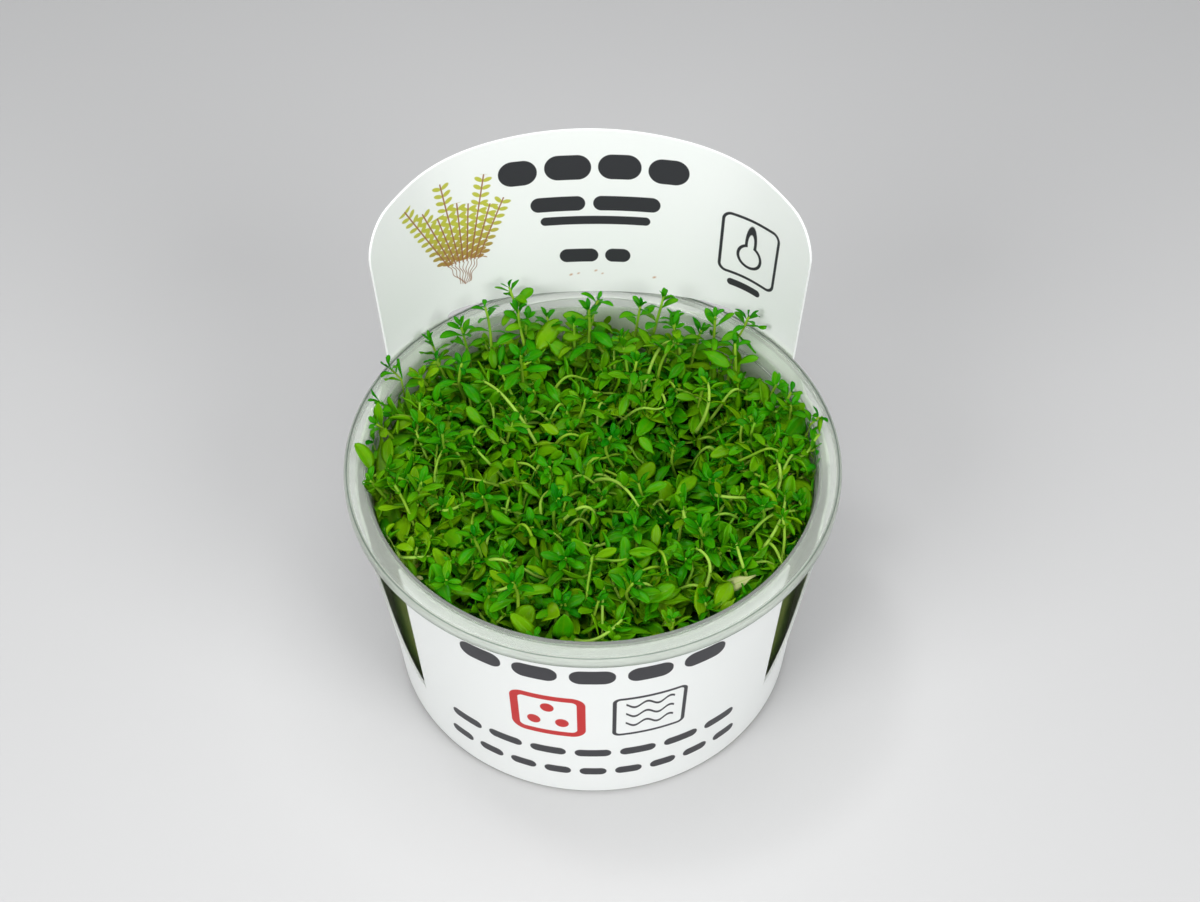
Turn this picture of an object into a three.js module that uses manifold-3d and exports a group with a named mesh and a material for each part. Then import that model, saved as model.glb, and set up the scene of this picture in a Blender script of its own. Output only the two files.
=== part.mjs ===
// A portion of pearlweed, an aquarium plant, growing in a clear culture cup with a printed-card sleeve.
// Millimetres, +Z up, +Y away from the viewer. The origin is on the cup's axis, on the surface it stands on.
// The shoots are rooted in a layer of culture gel. Most of them are tangled into one carpet that fills the
// cup, and single sprigs rise out of it. The card goes round the cup and stands up behind it as a header.

import * as THREE from "three";
import { mergeVertices } from "three/addons/utils/BufferGeometryUtils.js";
import Module from "manifold-3d";

const wasm = await Module();
wasm.setup();

// Cup: a tapered clear tub with a flat rim, a turned-down lip and a stepped seat for a lid
const cupHeight = 59;
const cupBaseRadius = 42.7;
const cupNeckRadius = 45.9;
const cupWall = 0.8;
const cupFloor = 1;
const footHeight = 0.8;
const footWidth = 4;
const footRounding = 0.5;
const rimRadius = 50;
const rimThickness = 0.8;
const rimRounding = 0.4;
const lipDrop = 2.3;
const lipThickness = 0.8;
const seatStep = 0.4;
const seatDepth = 3.2;
const floorCorner = 1.5;
const cupSides = 36;

// Sleeve: one card, wrapped round the cup, that stands up behind it as a header
const cardThickness = 0.5;
const cardGap = 0.3;
const sleeveBottom = 0.9;
const frontTop = 57.5;
const shoulderTop = 56.2;
const headerTop = 102.2;
const headerArcRadius = 134;
const headerCorner = 7;
const headerHalfAngle = 57.8;
const headerRadius = 52;
const headerFlatRadius = 96;
const headerLean = 0.01;
const rimPass = 4.3;
const rimPassBlend = 2.5;
const sleeveTurn = 0.8;
const slotHalfWidth = 29.3;
const slotBottom = 55.1;
const slotShoulder = 1.2;
const slotTop = 59.8;
const slotEndRadius = 1.6;
// The slits at the sides: the front panel's edge is straight, the back panel's edge is bowed, by height and angle
const slitMiddleAngle = 57.5;
const slitFrontAngle = 53.5;
const slitTip = 14;
const slitBackEdge = [[slitTip, 54.2], [20, 56], [26, 59], [34, 61], [41, 62], [50, 60], [59, 57]];
// How far the card springs off the cup once it is past the slits, by angle from the front
const springOff = [
  [0, 0], [slitFrontAngle, 0], [55, 3.3], [71, 1.4], [94, 1.4], [111, 1.9], [121, rimPass],
];
const springFullHeight = 55;
const springPower = 0.75;
const sleeveLevels = [sleeveBottom, slitTip, 21, 31, 43, springFullHeight, 60.5];

// Culture gel: a clear layer that the plants are rooted in, drawn up a little at the wall
const gelTop = 12;
const gelMeniscus = 0.8;
const gelMeniscusWidth = 2.5;
const gelGap = 0.3;

// Carpet: the shoots that are tangled together, with a lumpy top that sinks in the middle and towards the back
const carpetBottom = gelTop + gelMeniscus + 0.5;
const carpetGap = 0.4;
const carpetCell = 5.1;
const carpetRoughness = 2;
const carpetMiddle = 50.5;
const carpetEdgeRise = 4;
const carpetHollow = 6.5;

// Sprigs: single stems with opposite leaves and a tip of small leaves, each in a socket in the carpet
const sprigCount = 26;
const sprigSpread = 39.5;
const sprigRise = 8.2;
const stemRadius = 0.5;
const stemSides = 4;
const stemRoot = 4.5;
const socketRadius = 1;
const socketSides = 4;
const leafPairs = 2;
const leafLength = 4.9;
const leafWidth = 2.3;
const leafThickness = 0.7;
const leafRoot = 0.22;
const firstLeafHeight = 3.3;
const tipLeafLength = 2.6;
const goldenAngle = Math.PI * (3 - Math.sqrt(5));

const degrees = Math.PI / 180;
const farOut = 80;

// A repeatable number from 0 to 1 for an index and a kind of use
function scatter(index, kind) {
  const wave = Math.sin(index * 12.9898 + kind * 78.233) * 43758.5453;
  return wave - Math.floor(wave);
}

function smooth(share) {
  const t = Math.min(1, Math.max(0, share));
  return t * t * (3 - 2 * t);
}

// The value at a place between knots of [place, value], with soft turns
function between(knots, place) {
  const next = Math.max(1, knots.findIndex(([x]) => x >= place));
  const [x0, y0] = knots[next - 1];
  const [x1, y1] = knots[next];
  return y0 + (y1 - y0) * smooth((place - x0) / (x1 - x0));
}

// A closed geometry as a solid, for cutting and joining
function solid(geometry) {
  const bare = geometry.index ? geometry.toNonIndexed() : geometry.clone();
  bare.deleteAttribute("normal");
  bare.deleteAttribute("uv");
  const merged = mergeVertices(bare, 1e-4);
  return new wasm.Manifold(new wasm.Mesh({
    numProp: 3,
    vertProperties: new Float32Array(merged.attributes.position.array),
    triVerts: new Uint32Array(merged.index.array),
  }));
}

// A solid back as a flat-shaded geometry
function geometryOf(made) {
  const mesh = made.getMesh();
  const shape = indexed(Array.from(mesh.vertProperties), Array.from(mesh.triVerts)).toNonIndexed();
  shape.computeVertexNormals();
  return shape;
}

function indexed(points, faces) {
  const shape = new THREE.BufferGeometry();
  shape.setAttribute("position", new THREE.BufferAttribute(new Float32Array(points), 3));
  shape.setIndex(faces);
  return shape;
}

function outline(points) {
  return new THREE.Shape(points.map(([x, y]) => new THREE.Vector2(x, y)));
}

// A turned shape from (radius, height) points, standing on Z
function turned(profile, sides) {
  return new THREE.LatheGeometry(profile.map(([r, z]) => new THREE.Vector2(r, z)), sides).rotateX(Math.PI / 2);
}

function cupOuterRadius(z) {
  return cupBaseRadius + (cupNeckRadius - cupBaseRadius) * z / (cupHeight - rimThickness);
}

function cupInnerRadius(z) {
  return cupOuterRadius(z) - cupWall;
}

function cupGeometry() {
  const floorTop = footHeight + cupFloor;
  const rimUnder = cupHeight - rimThickness;
  const lipInside = rimRadius - lipThickness;
  const lipBottom = cupHeight - lipDrop;
  const seat = cupHeight - seatDepth;
  const seatRadius = cupInnerRadius(seat) + seatStep;
  return turned([
    [0, footHeight],
    [cupBaseRadius - footWidth - footHeight, footHeight],
    [cupBaseRadius - footWidth, 0],
    [cupBaseRadius - footRounding, 0],
    [cupOuterRadius(footRounding), footRounding],
    [cupNeckRadius, rimUnder],
    [lipInside, rimUnder],
    [lipInside, lipBottom],
    [rimRadius, lipBottom],
    [rimRadius, cupHeight - rimRounding],
    [rimRadius - rimRounding, cupHeight],
    [seatRadius + rimRounding, cupHeight],
    [seatRadius, cupHeight - rimRounding],
    [seatRadius, seat],
    [cupInnerRadius(seat - seatStep), seat - seatStep],
    [cupInnerRadius(floorTop + floorCorner), floorTop + floorCorner],
    [cupInnerRadius(floorTop) - floorCorner, floorTop],
    [0, floorTop],
  ], cupSides);
}

// How far the header stands off the cup: its middle is flatter than the cup and comes in over the rim,
// and towards its sides it passes outside the rim
function headerSpring(angle) {
  const lie = (180 - Math.abs(angle)) * degrees;
  const middle = cupOuterRadius(cupHeight) + cardGap + cardThickness;
  const centre = middle - headerFlatRadius;
  const flat = centre * Math.cos(lie) + Math.sqrt(headerFlatRadius ** 2 - (centre * Math.sin(lie)) ** 2) - middle;
  const near = Math.max(0, rimPassBlend - Math.abs(flat - rimPass));
  return Math.min(flat, rimPass) - near ** 2 / (4 * rimPassBlend);
}

// Outer radius of the card at an angle from the front, in degrees, and a height
function cardRadius(angle, z) {
  const rise = Math.min(1, Math.max(0, (z - slitTip) / (springFullHeight - slitTip)));
  const lastKnot = springOff.at(-1)[0];
  const spring = Math.abs(angle) > lastKnot ? headerSpring(angle) : between(springOff, Math.abs(angle));
  return cupOuterRadius(z) + cardGap + cardThickness + spring * rise ** springPower;
}

// Distance round the card from the middle of the header to where the corner's rounding starts
function cornerStart() {
  return headerRadius * headerHalfAngle * degrees - headerCorner;
}

// Top edge of the header at an angle from the front: a flat arc with rounded corners, a little lower at +X
function headerEdge(angle) {
  const out = headerRadius * Math.min(headerHalfAngle, 180 - Math.abs(angle)) * degrees;
  const arc = headerTop - headerArcRadius + Math.sqrt(headerArcRadius ** 2 - out ** 2);
  const intoCorner = Math.min(headerCorner, Math.max(0, out - cornerStart()));
  const lean = headerLean * out * Math.sign(angle);
  return arc - headerCorner + Math.sqrt(headerCorner ** 2 - intoCorner ** 2) - lean;
}

// Angles of the card's columns on one side, close together where it bends or has a corner
function cardAngles() {
  const spans = [[0, slitFrontAngle, 6], [slitFrontAngle, 55, 1], [55, 64, 2], [64, 180 - headerHalfAngle, 6]];
  const angles = spans.flatMap(([from, to, steps]) => {
    return Array.from({ length: steps }, (_, i) => from + (to - from) * i / steps);
  });
  const cornerSteps = 3;
  for (let i = 0; i < cornerSteps; i++) {
    const out = cornerStart() + headerCorner * Math.cos(i / cornerSteps * Math.PI / 2);
    angles.push(180 - out / headerRadius / degrees);
  }
  const arcFrom = 180 - cornerStart() / headerRadius / degrees;
  const arcSteps = 8;
  for (let i = 0; i <= arcSteps; i++) angles.push(arcFrom + (180 - arcFrom) * i / arcSteps);
  return angles;
}

// The uncut card: a closed band all the way round the cup, with the header's edge at its top
function cardBand() {
  const half = cardAngles();
  const angles = [...half.slice(1).reverse().map((angle) => -angle), ...half.slice(0, -1)];
  const columns = angles.length;
  const rows = sleeveLevels.length + 1;
  const points = [];
  for (const inset of [0, cardThickness]) {
    for (let row = 0; row < rows; row++) {
      for (const angle of angles) {
        const z = row < sleeveLevels.length ? sleeveLevels[row] : headerEdge(angle);
        const r = cardRadius(angle, z) - inset;
        points.push(r * Math.sin(angle * degrees), -r * Math.cos(angle * degrees), z);
      }
    }
  }
  const at = (side, row, column) => (side * rows + row) * columns + column % columns;
  const faces = [];
  const quad = (a, b, c, d) => faces.push(a, b, c, a, c, d);
  for (let column = 0; column < columns; column++) {
    const next = column + 1;
    for (let row = 0; row + 1 < rows; row++) {
      quad(at(0, row, column), at(0, row, next), at(0, row + 1, next), at(0, row + 1, column));
      quad(at(1, row, next), at(1, row, column), at(1, row + 1, column), at(1, row + 1, next));
    }
    quad(at(0, rows - 1, column), at(0, rows - 1, next), at(1, rows - 1, next), at(1, rows - 1, column));
    quad(at(1, 0, column), at(1, 0, next), at(0, 0, next), at(0, 0, column));
  }
  return indexed(points, faces);
}

// A block over the angles from one to another, measured from the front, above a height
function sectorBlock(from, to, bottom) {
  const plan = new THREE.Shape();
  plan.absarc(0, 0, farOut, (from - 90) * degrees, (to - 90) * degrees, false);
  plan.lineTo(0, 0);
  plan.closePath();
  const depth = headerTop + 5 - bottom;
  return new THREE.ExtrudeGeometry(plan, { depth, bevelEnabled: false, curveSegments: 12 }).translate(0, 0, bottom);
}

// An outline in X and Z, as a cutter that runs out from the cup's axis in the direction of an angle from the front
function radialCutter(shape, angle) {
  return new THREE.ExtrudeGeometry(shape, { depth: farOut, bevelEnabled: false, curveSegments: 6 })
    .rotateX(Math.PI / 2)
    .rotateZ(angle * degrees);
}

// The slot that the cup's rim goes through: its ends are round, and its lower edge dips in the middle
function slotOutline() {
  const r = slotEndRadius;
  const end = slotHalfWidth - r;
  const low = slotBottom + slotShoulder + r;
  const high = slotTop - r;
  const slot = new THREE.Shape();
  slot.absarc(end, low, r, -Math.PI / 2, 0, false);
  slot.absarc(end, high, r, 0, Math.PI / 2, false);
  slot.absarc(-end, high, r, Math.PI / 2, Math.PI, false);
  slot.absarc(-end, low, r, Math.PI, Math.PI * 1.5, false);
  slot.lineTo(-slotHalfWidth * 0.6, slotBottom);
  slot.lineTo(slotHalfWidth * 0.6, slotBottom);
  slot.closePath();
  return slot;
}

function slitOutline() {
  const across = (angle, z) => cardRadius(angle, z) * Math.sin((angle - slitMiddleAngle) * degrees);
  const back = slitBackEdge.map(([z, angle]) => [across(angle, z), z]);
  return outline([...back, [across(slitFrontAngle, cupHeight), cupHeight], [across(slitFrontAngle, slitTip), slitTip]]);
}

function mirrored(points) {
  return points.map(([x, z]) => [-x, z]);
}

function sleeveGeometry() {
  const headerFrom = 180 - headerHalfAngle;
  let card = solid(cardBand())
    .subtract(solid(sectorBlock(-slitMiddleAngle, slitMiddleAngle, frontTop)))
    .subtract(solid(radialCutter(slotOutline(), 180)));
  const slit = slitOutline().getPoints().map((p) => [p.x, p.y]);
  for (const side of [-1, 1]) {
    const ends = [side * (slitFrontAngle + 1), side * headerFrom].sort((a, b) => a - b);
    const shape = outline(side > 0 ? slit : mirrored(slit));
    card = card
      .subtract(solid(sectorBlock(...ends, shoulderTop)))
      .subtract(solid(radialCutter(shape, side * slitMiddleAngle)));
  }
  return geometryOf(card).rotateZ(sleeveTurn * degrees);
}

function gelGeometry() {
  const bottom = footHeight + cupFloor + gelGap;
  const sideRadius = (z) => cupInnerRadius(z) - gelGap;
  return turned([
    [0, bottom],
    [sideRadius(bottom) - floorCorner, bottom],
    [sideRadius(bottom + floorCorner), bottom + floorCorner],
    [sideRadius(gelTop), gelTop + gelMeniscus],
    [sideRadius(gelTop) - gelMeniscusWidth, gelTop],
    [0, gelTop],
  ], cupSides);
}

// Height of the carpet over a point of the plan, without its lumps
function carpetHeight(x, y) {
  const edge = carpetEdgeRise * smooth((Math.hypot(x, y) - 18) / 24) * (1 - 1.7 * smooth((y - 12) / 26));
  const hollow = carpetHollow * Math.exp(-((x - 17) ** 2 + (y - 7) ** 2) / 150);
  const waves = 1.3 * Math.sin(x * 0.23 + 1) * Math.cos(y * 0.21 - 0.6);
  return carpetMiddle + edge - hollow + waves;
}

// The carpet fills the cup from wall to wall: a block with a lumpy top, cut to the inside of the cup
function carpetSolid() {
  const cells = Math.ceil(2 * cupNeckRadius / carpetCell);
  const side = cells * carpetCell;
  const block = new THREE.BoxGeometry(side, side, 2, cells, cells, 1);
  const position = block.attributes.position;
  for (let i = 0; i < position.count; i++) {
    const x = position.getX(i);
    const y = position.getY(i);
    const corner = Math.round(x / carpetCell * 2) * 31 + Math.round(y / carpetCell * 2) * 17;
    const lump = carpetRoughness * (scatter(corner, 1) * 2 - 1);
    position.setZ(i, position.getZ(i) > 0 ? carpetHeight(x, y) + lump : 0);
  }
  const top = cupHeight - seatDepth - 1;
  const sideRadius = (z) => cupInnerRadius(z) - carpetGap;
  const side0 = sideRadius(carpetBottom);
  const inside = turned([[0, carpetBottom], [side0, carpetBottom], [sideRadius(top), top], [0, top]], cupSides);
  return solid(block).intersect(solid(inside));
}

function spiralPoint(index, count, radius, turn) {
  const r = radius * Math.sqrt((index + 0.5) / count);
  const angle = index * goldenAngle + turn;
  return new THREE.Vector2(r * Math.cos(angle), r * Math.sin(angle));
}

// Where a sprig stands, how high it rises over the carpet, and how it leans: inwards at the wall
function sprigPlan(index) {
  const foot = spiralPoint(index, sprigCount, sprigSpread, 0.9);
  const atBack = smooth((foot.y - 10) / 20);
  return {
    foot,
    surface: carpetHeight(foot.x, foot.y),
    rise: sprigRise + 1.8 * scatter(index, 2) + atBack * (3.5 + 5 * scatter(index, 7)),
    lean: 0.8 + 1.4 * scatter(index, 3),
    leanAngle: scatter(index, 4) * 2 * Math.PI,
    turn: scatter(index, 5) * Math.PI,
  };
}

function stemCurve({ foot, surface, rise, lean, leanAngle }) {
  const along = new THREE.Vector3(Math.cos(leanAngle), Math.sin(leanAngle), 0);
  const point = (out, z) => new THREE.Vector3(foot.x, foot.y, z).addScaledVector(along, out);
  return new THREE.CatmullRomCurve3([
    point(0, surface - stemRoot),
    point(0, surface + 1),
    point(lean * 0.35, surface + rise * 0.55),
    point(lean, surface + rise),
  ]);
}

function stemSolid(curve) {
  const corners = Array.from({ length: stemSides }, (_, i) => {
    const angle = 2 * Math.PI * i / stemSides;
    return [stemRadius * Math.cos(angle), stemRadius * Math.sin(angle)];
  });
  return solid(new THREE.ExtrudeGeometry(outline(corners), { steps: 3, bevelEnabled: false, extrudePath: curve }));
}

// A pointed oval leaf, thickest along its midrib, from its foot just past the stem's middle to its tip
function leafGeometry(length) {
  const width = leafWidth * length / leafLength;
  const half = leafThickness / 2;
  const points = [
    -leafRoot, 0, 0,
    length * 0.42, width / 2, 0,
    length * 0.78, width * 0.36, 0,
    length, 0, 0,
    length * 0.78, -width * 0.36, 0,
    length * 0.42, -width / 2, 0,
    length * 0.5, 0, half,
    length * 0.5, 0, -half,
  ];
  const corners = 6;
  const faces = [];
  for (let i = 0; i < corners; i++) {
    const next = (i + 1) % corners;
    faces.push(next, i, corners, i, next, corners + 1);
  }
  return indexed(points, faces);
}

function placedLeaf(point, azimuth, climb, length) {
  return leafGeometry(length)
    .rotateY(-climb)
    .rotateZ(azimuth)
    .translate(point.x, point.y, point.z);
}

function sprigGeometry(index) {
  const plan = sprigPlan(index);
  const curve = stemCurve(plan);
  const spacing = (plan.rise - firstLeafHeight) / leafPairs;
  let sprig = stemSolid(curve);
  for (let pair = 0; pair <= leafPairs; pair++) {
    const isTip = pair === leafPairs;
    const height = firstLeafHeight + spacing * pair;
    const point = curve.getPointAt(Math.min(0.98, (height + stemRoot) / (plan.rise + stemRoot)));
    const length = isTip ? tipLeafLength : leafLength * (1 - 0.13 * pair);
    const climb = isTip ? 55 : 22 + 7 * pair + 8 * scatter(index, 11 + pair);
    for (const half of [0, Math.PI]) {
      const azimuth = plan.turn + pair * Math.PI / 2 + half;
      sprig = sprig.add(solid(placedLeaf(point, azimuth, climb * degrees, length)));
    }
  }
  return geometryOf(sprig);
}

// The hole in the carpet that a sprig's stem stands in
function socketGeometry(index) {
  const { foot, surface } = sprigPlan(index);
  const bottom = surface - stemRoot - gelGap;
  const height = stemRoot + 6;
  return new THREE.CylinderGeometry(socketRadius, socketRadius, height, socketSides)
    .rotateX(Math.PI / 2)
    .translate(foot.x, foot.y, bottom + height / 2);
}

function carpetGeometry() {
  let carpet = carpetSolid();
  for (let i = 0; i < sprigCount; i++) carpet = carpet.subtract(solid(socketGeometry(i)));
  return geometryOf(carpet);
}

const clearPlastic = new THREE.MeshStandardMaterial({
  color: 0xdfe9e6, roughness: 0.12, metalness: 0, transparent: true, opacity: 0.35,
});
const whiteCard = new THREE.MeshStandardMaterial({ color: 0xeef2ef, roughness: 0.45, metalness: 0 });
const cultureGel = new THREE.MeshStandardMaterial({
  color: 0xcfc98a, roughness: 0.2, metalness: 0, transparent: true, opacity: 0.6,
});
const deepLeaf = new THREE.MeshStandardMaterial({ color: 0x2f7a12, roughness: 0.5, metalness: 0 });
const freshLeaf = new THREE.MeshStandardMaterial({ color: 0x58a81f, roughness: 0.42, metalness: 0 });

const pearlweed = new THREE.Group();

function addPiece(name, geometry, material) {
  const mesh = new THREE.Mesh(geometry, material);
  mesh.name = name;
  pearlweed.add(mesh);
}

addPiece("cup", cupGeometry(), clearPlastic);
addPiece("card_sleeve", sleeveGeometry(), whiteCard);
addPiece("culture_gel", gelGeometry(), cultureGel);
addPiece("plant_carpet", carpetGeometry(), deepLeaf);
for (let i = 0; i < sprigCount; i++) {
  const number = String(i + 1).padStart(2, "0");
  addPiece("sprig_" + number, sprigGeometry(i), freshLeaf);
}

export default pearlweed;
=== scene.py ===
"""A portion of pearlweed, an aquarium plant, in a clear culture cup with a white card sleeve.

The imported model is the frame, in metres, +Z up. Sizes below are in millimetres unless a comment says
otherwise. Every piece is made in the frame's own place, and its object sits at the origin.
"""

import math
from functools import reduce

import bpy
import numpy as np
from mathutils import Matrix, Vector
from mathutils.geometry import delaunay_2d_cdt


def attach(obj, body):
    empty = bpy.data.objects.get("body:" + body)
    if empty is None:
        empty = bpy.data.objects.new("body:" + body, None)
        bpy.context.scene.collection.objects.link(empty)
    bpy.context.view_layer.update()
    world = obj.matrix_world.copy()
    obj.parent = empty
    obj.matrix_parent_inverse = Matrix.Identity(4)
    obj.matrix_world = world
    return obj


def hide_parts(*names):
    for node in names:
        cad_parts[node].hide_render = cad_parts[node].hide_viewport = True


bl_info = {
    "name": "Pearlweed in a culture cup",
    "version": (1, 0, 0),
    "blender": (4, 5, 0),
    "location": "3D View > Sidebar > Pearlweed",
    "description": "Dresses the packed pearlweed: cup, card sleeve, culture gel, carpet of shoots and sprigs",
    "category": "Object",
}

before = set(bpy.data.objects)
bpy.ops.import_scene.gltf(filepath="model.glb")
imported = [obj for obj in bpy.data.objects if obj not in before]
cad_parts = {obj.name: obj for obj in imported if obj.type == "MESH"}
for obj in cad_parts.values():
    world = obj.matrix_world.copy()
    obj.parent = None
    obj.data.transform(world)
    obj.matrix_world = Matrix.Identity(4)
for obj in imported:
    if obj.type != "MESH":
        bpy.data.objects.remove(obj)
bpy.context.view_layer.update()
MM = 0.001
BODY = "root"
NOISE_ROUGHNESS = 0.55

# Cup, from its foot up
CUP_HEIGHT = 59.0
CUP_BASE_RADIUS = 42.7
CUP_NECK_RADIUS = 45.9
CUP_WALL = 0.8
CUP_FLOOR = 1.0
FOOT_HEIGHT = 0.8
FOOT_WIDTH = 4.0
RIM_RADIUS = 50.0
RIM_THICKNESS = 0.8
LIP_DROP = 2.3
LIP_THICKNESS = 0.8
SEAT_STEP = 0.4
SEAT_DEPTH = 3.2
SEAT_TOP_DROP = 0.12
CUP_SIDES = 180
CUP_CLEARNESS = 0.82
CUP_ABSORPTION = 650.0

# Card sleeve, as angles from the front in degrees and heights
CARD_THICKNESS = 0.5
CARD_GAP = 0.3
SLEEVE_BOTTOM = 0.9
FRONT_TOP = 57.5
SHOULDER_TOP = 56.2
HEADER_TOP = 102.2
HEADER_ARC_RADIUS = 134.0
HEADER_CORNER = 7.0
HEADER_RADIUS = 52.0
HEADER_HALF = HEADER_RADIUS * math.radians(57.8)
HEADER_FLAT_RADIUS = 96.0
HEADER_LEAN = 0.01
RIM_PASS = 4.3
RIM_PASS_BLEND = 2.5
SLEEVE_TURN = 0.8
SLOT_HALF_WIDTH = 34.51
SLOT_BOTTOM = 55.1
SLOT_TOP = 59.8
SLOT_ROUNDING = 1.6
SLIT_FRONT_ANGLE = 53.5
SLIT_TIP = 14.0
SLIT_BACK_EDGE = [(SLIT_TIP, 53.6), (20, 56), (26, 59), (34, 61), (41, 62), (50, 60), (SHOULDER_TOP, 57.6)]
SLIT_SMOOTHING = 6.0
SPRING_OFF = [(0, 0), (SLIT_FRONT_ANGLE, 0), (55, 3.3), (71, 1.4), (94, 1.4), (111, 1.9), (121, RIM_PASS)]
SPRING_FULL_HEIGHT = 55.0
SPRING_POWER = 0.75
CARD_GRID = 1.7
CARD_CLEARNESS = 0.12

# Print: blocks as across, up and half-sizes, dots and specks as across, up and size, and broken lines as
# height, half-height, rounding, period, gap and reach to each side
HEADER_BLOCKS = [
    (-16.6, 92.4, 4.2, 3.1), (-5.6, 93.0, 5.2, 3.1), (5.9, 93.1, 4.8, 3.1), (16.6, 92.6, 4.4, 3.1),
    (-8.0, 83.8, 6.2, 1.9), (7.6, 83.8, 7.6, 1.9), (0.5, 79.4, 12.6, 1.1), (-3.4, 69.9, 4.6, 1.8),
    (5.8, 69.9, 3.0, 1.8), (35.4, 67.4, 4.2, 0.9),
]
HEADER_SPECKS = [
    (-5.4, 64.6, 0.4), (-3.6, 64.9, 0.3), (0.6, 65.6, 0.35), (2.2, 64.8, 0.25), (14.6, 64.4, 0.4),
]
FRONT_LINES = [
    (47.6, 2.4, 2.2, 10.8, 2.2, 27.0), (17.5, 1.4, 1.3, 9.2, 1.8, 32.2), (9.6, 1.4, 1.3, 7.4, 1.8, 33.3),
]
FRONT_DOTS = [(-11.6, 29.4), (-8.8, 34.8), (-6.0, 29.4)]
WAVE_HEIGHTS = [28.8, 32.4, 36.0]
INNER_LINES = [(49.0, 0.8, 0.5, 4.6, 1.4, 40.0), (45.6, 0.8, 0.5, 3.4, 1.4, 40.0)]
TUFT_STEMS = 9
TUFT_PLACE = (-33.4, 72.0)

# Culture gel
GEL_TOP = 12.0
GEL_MENISCUS = 0.8
GEL_GAP = 0.3

# Carpet of shoots, and how far its tips, lower leaves and runners are scattered from the axis
CARPET_BOTTOM = GEL_TOP + GEL_MENISCUS + 0.5
CARPET_MIDDLE = 50.5
CARPET_EDGE_RISE = 4.0
CARPET_HOLLOW = 6.5
CARPET_PIECES = ["carpet_right", "carpet_back_right", "carpet_back_left", "carpet_left", "carpet_front"]
SHOOT_SPREAD = 44.0
LOWER_LEAF_SPREAD = 44.6
RUNNER_SPREAD = 33.0
RUNNER_CENTRE = (5.0, -4.0)
HOLLOW_CENTRE = (12.0, 5.0)
HOLLOW_RADIUS = 9.0
HEART_DEPTH = 8.0
HEART_INSET = 3.0
HEART_TOP = 46.0
HEART_RINGS = 26
HEART_SIDES = 120
WALL_CLEARANCE = 0.25
RIM_CLEARANCE = 0.6
SEEPING_LIGHT = 0.4

# Shoots pressed against the cup's wall behind each slit, at angles from the front in degrees
WALL_SHOOTS = 13
WALL_SHOOTS_FROM = 47.0
WALL_SHOOTS_TO = 73.0

# Sprigs, in the places of the frame's own sprigs
SPRIG_COUNT = 26
SPRIG_SPREAD = 39.5
SPRIG_RISE = 8.2
STEM_ROOT = 4.5
SPRIG_SWAY = 1.1
GOLDEN_ANGLE = math.pi * (3 - math.sqrt(5))

# Leaves down a shoot from its tip: the gap above each pair, and its length as a share of a full-grown leaf's
SHOOT_LEAVES = [(0.15, 0.3), (0.7, 0.45), (1.4, 0.64), (3.0, 0.86), (4.4, 1.0), (5.0, 1.06)]
RUNNER_LEAVES = [(0.15, 0.34), (0.6, 0.5), (1.3, 0.68), (3.4, 0.85), (5.0, 0.8)]
SPRIG_LEAVES = [(0.15, 0.42), (0.8, 0.58), (1.7, 0.75), (2.8, 0.92), (3.4, 1.0), (3.8, 1.0)]
WALL_LEAVES = [(0.4, 0.4), (1.5, 0.7), (3.5, 0.9)] + 5 * [(5.0, 1.0)]
AGE_STEP = 0.11
OLDEST_GREEN = 0.78
LYING_SHARE = 0.32
WHORL_SHARE = 0.3
LARGE_LEAF_FROM = 3.4
STEM_SIDES = 6
SINGLE_FOOT_SINK = 3.5

# Tips at the cup's edge, single pale stems as foot, middle and tip, and single leaves as foot, tip, width and
# age, 1 being withered
EDGE_TIPS = [
    (-18, 41, 66), (-23, 36, 65), (-35, 31, 60), (-43, 22, 61), (-46, 14, 60), (-46, 4, 58), (1, 37, 66),
    (10, 36, 65), (15, 38, 66), (26, 35, 63), (33, 34, 64), (41, 16, 60), (46, 8, 61), (45, -3, 58),
    (-16, 36, 64), (-28, 32, 63), (-4, 33, 63), (17, 34, 64), (23, 33, 61), (30, 29, 61), (38, 17, 61),
    (17, 29, 61), (6, 30, 62), (-10, 37, 61), (-33, 25, 60),
]
SINGLE_STEMS = [
    ((36, -15, 55), (36, -5, 61), (42, 2, 59)), ((29, -23, 54), (37, -21, 60), (38, -11, 59)),
    ((20, -32, 55), (25, -28, 60), (20, -24, 59)), ((-11, 7, 55), (-17, 14, 62), (-23, 20, 59)),
    ((0, -2, 56), (5, -6, 61), (9, -12, 57)), ((-7.5, -14.4, 56), (-1.5, -14, 63.5), (0.5, -14.1, 57)),
    ((-39.3, -21, 56), (-35.6, -28.4, 61.5), (-31, -24.5, 57)),
    ((-22.1, -24.1, 57), (-18.9, -26.6, 60.5), (-15.8, -26.7, 58)),
    ((-15.8, -26.7, 58), (-13.8, -36, 62), (-19.4, -32.7, 57)),
    ((-31.1, -6.9, 56), (-30.2, -18.5, 61), (-25.5, -11.3, 57)),
    ((10.7, 23.1, 56), (13.5, 32.5, 60), (17.2, 27.4, 63)),
    ((21.5, 11.6, 56), (24.6, 10, 62), (23.8, 17.6, 61)), ((-5, -39.5, 56), (-0.5, -47, 57), (5.5, -40, 58)),
    ((23.8, -6.8, 58), (24.5, -13, 61), (30.5, -10.7, 58)),
    ((37.2, -5.9, 57), (37.5, -7.5, 63), (36.8, -2.5, 60)),
    ((30, -28.9, 58), (28, -28, 61), (27.7, -22.7, 59)),
    ((21.9, -17.6, 57), (17.5, -21, 62), (17.6, -13.5, 59)),
    ((-36.5, -24.5, 58), (-38.6, -24, 62), (-41.2, -20.7, 58)),
]
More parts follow.
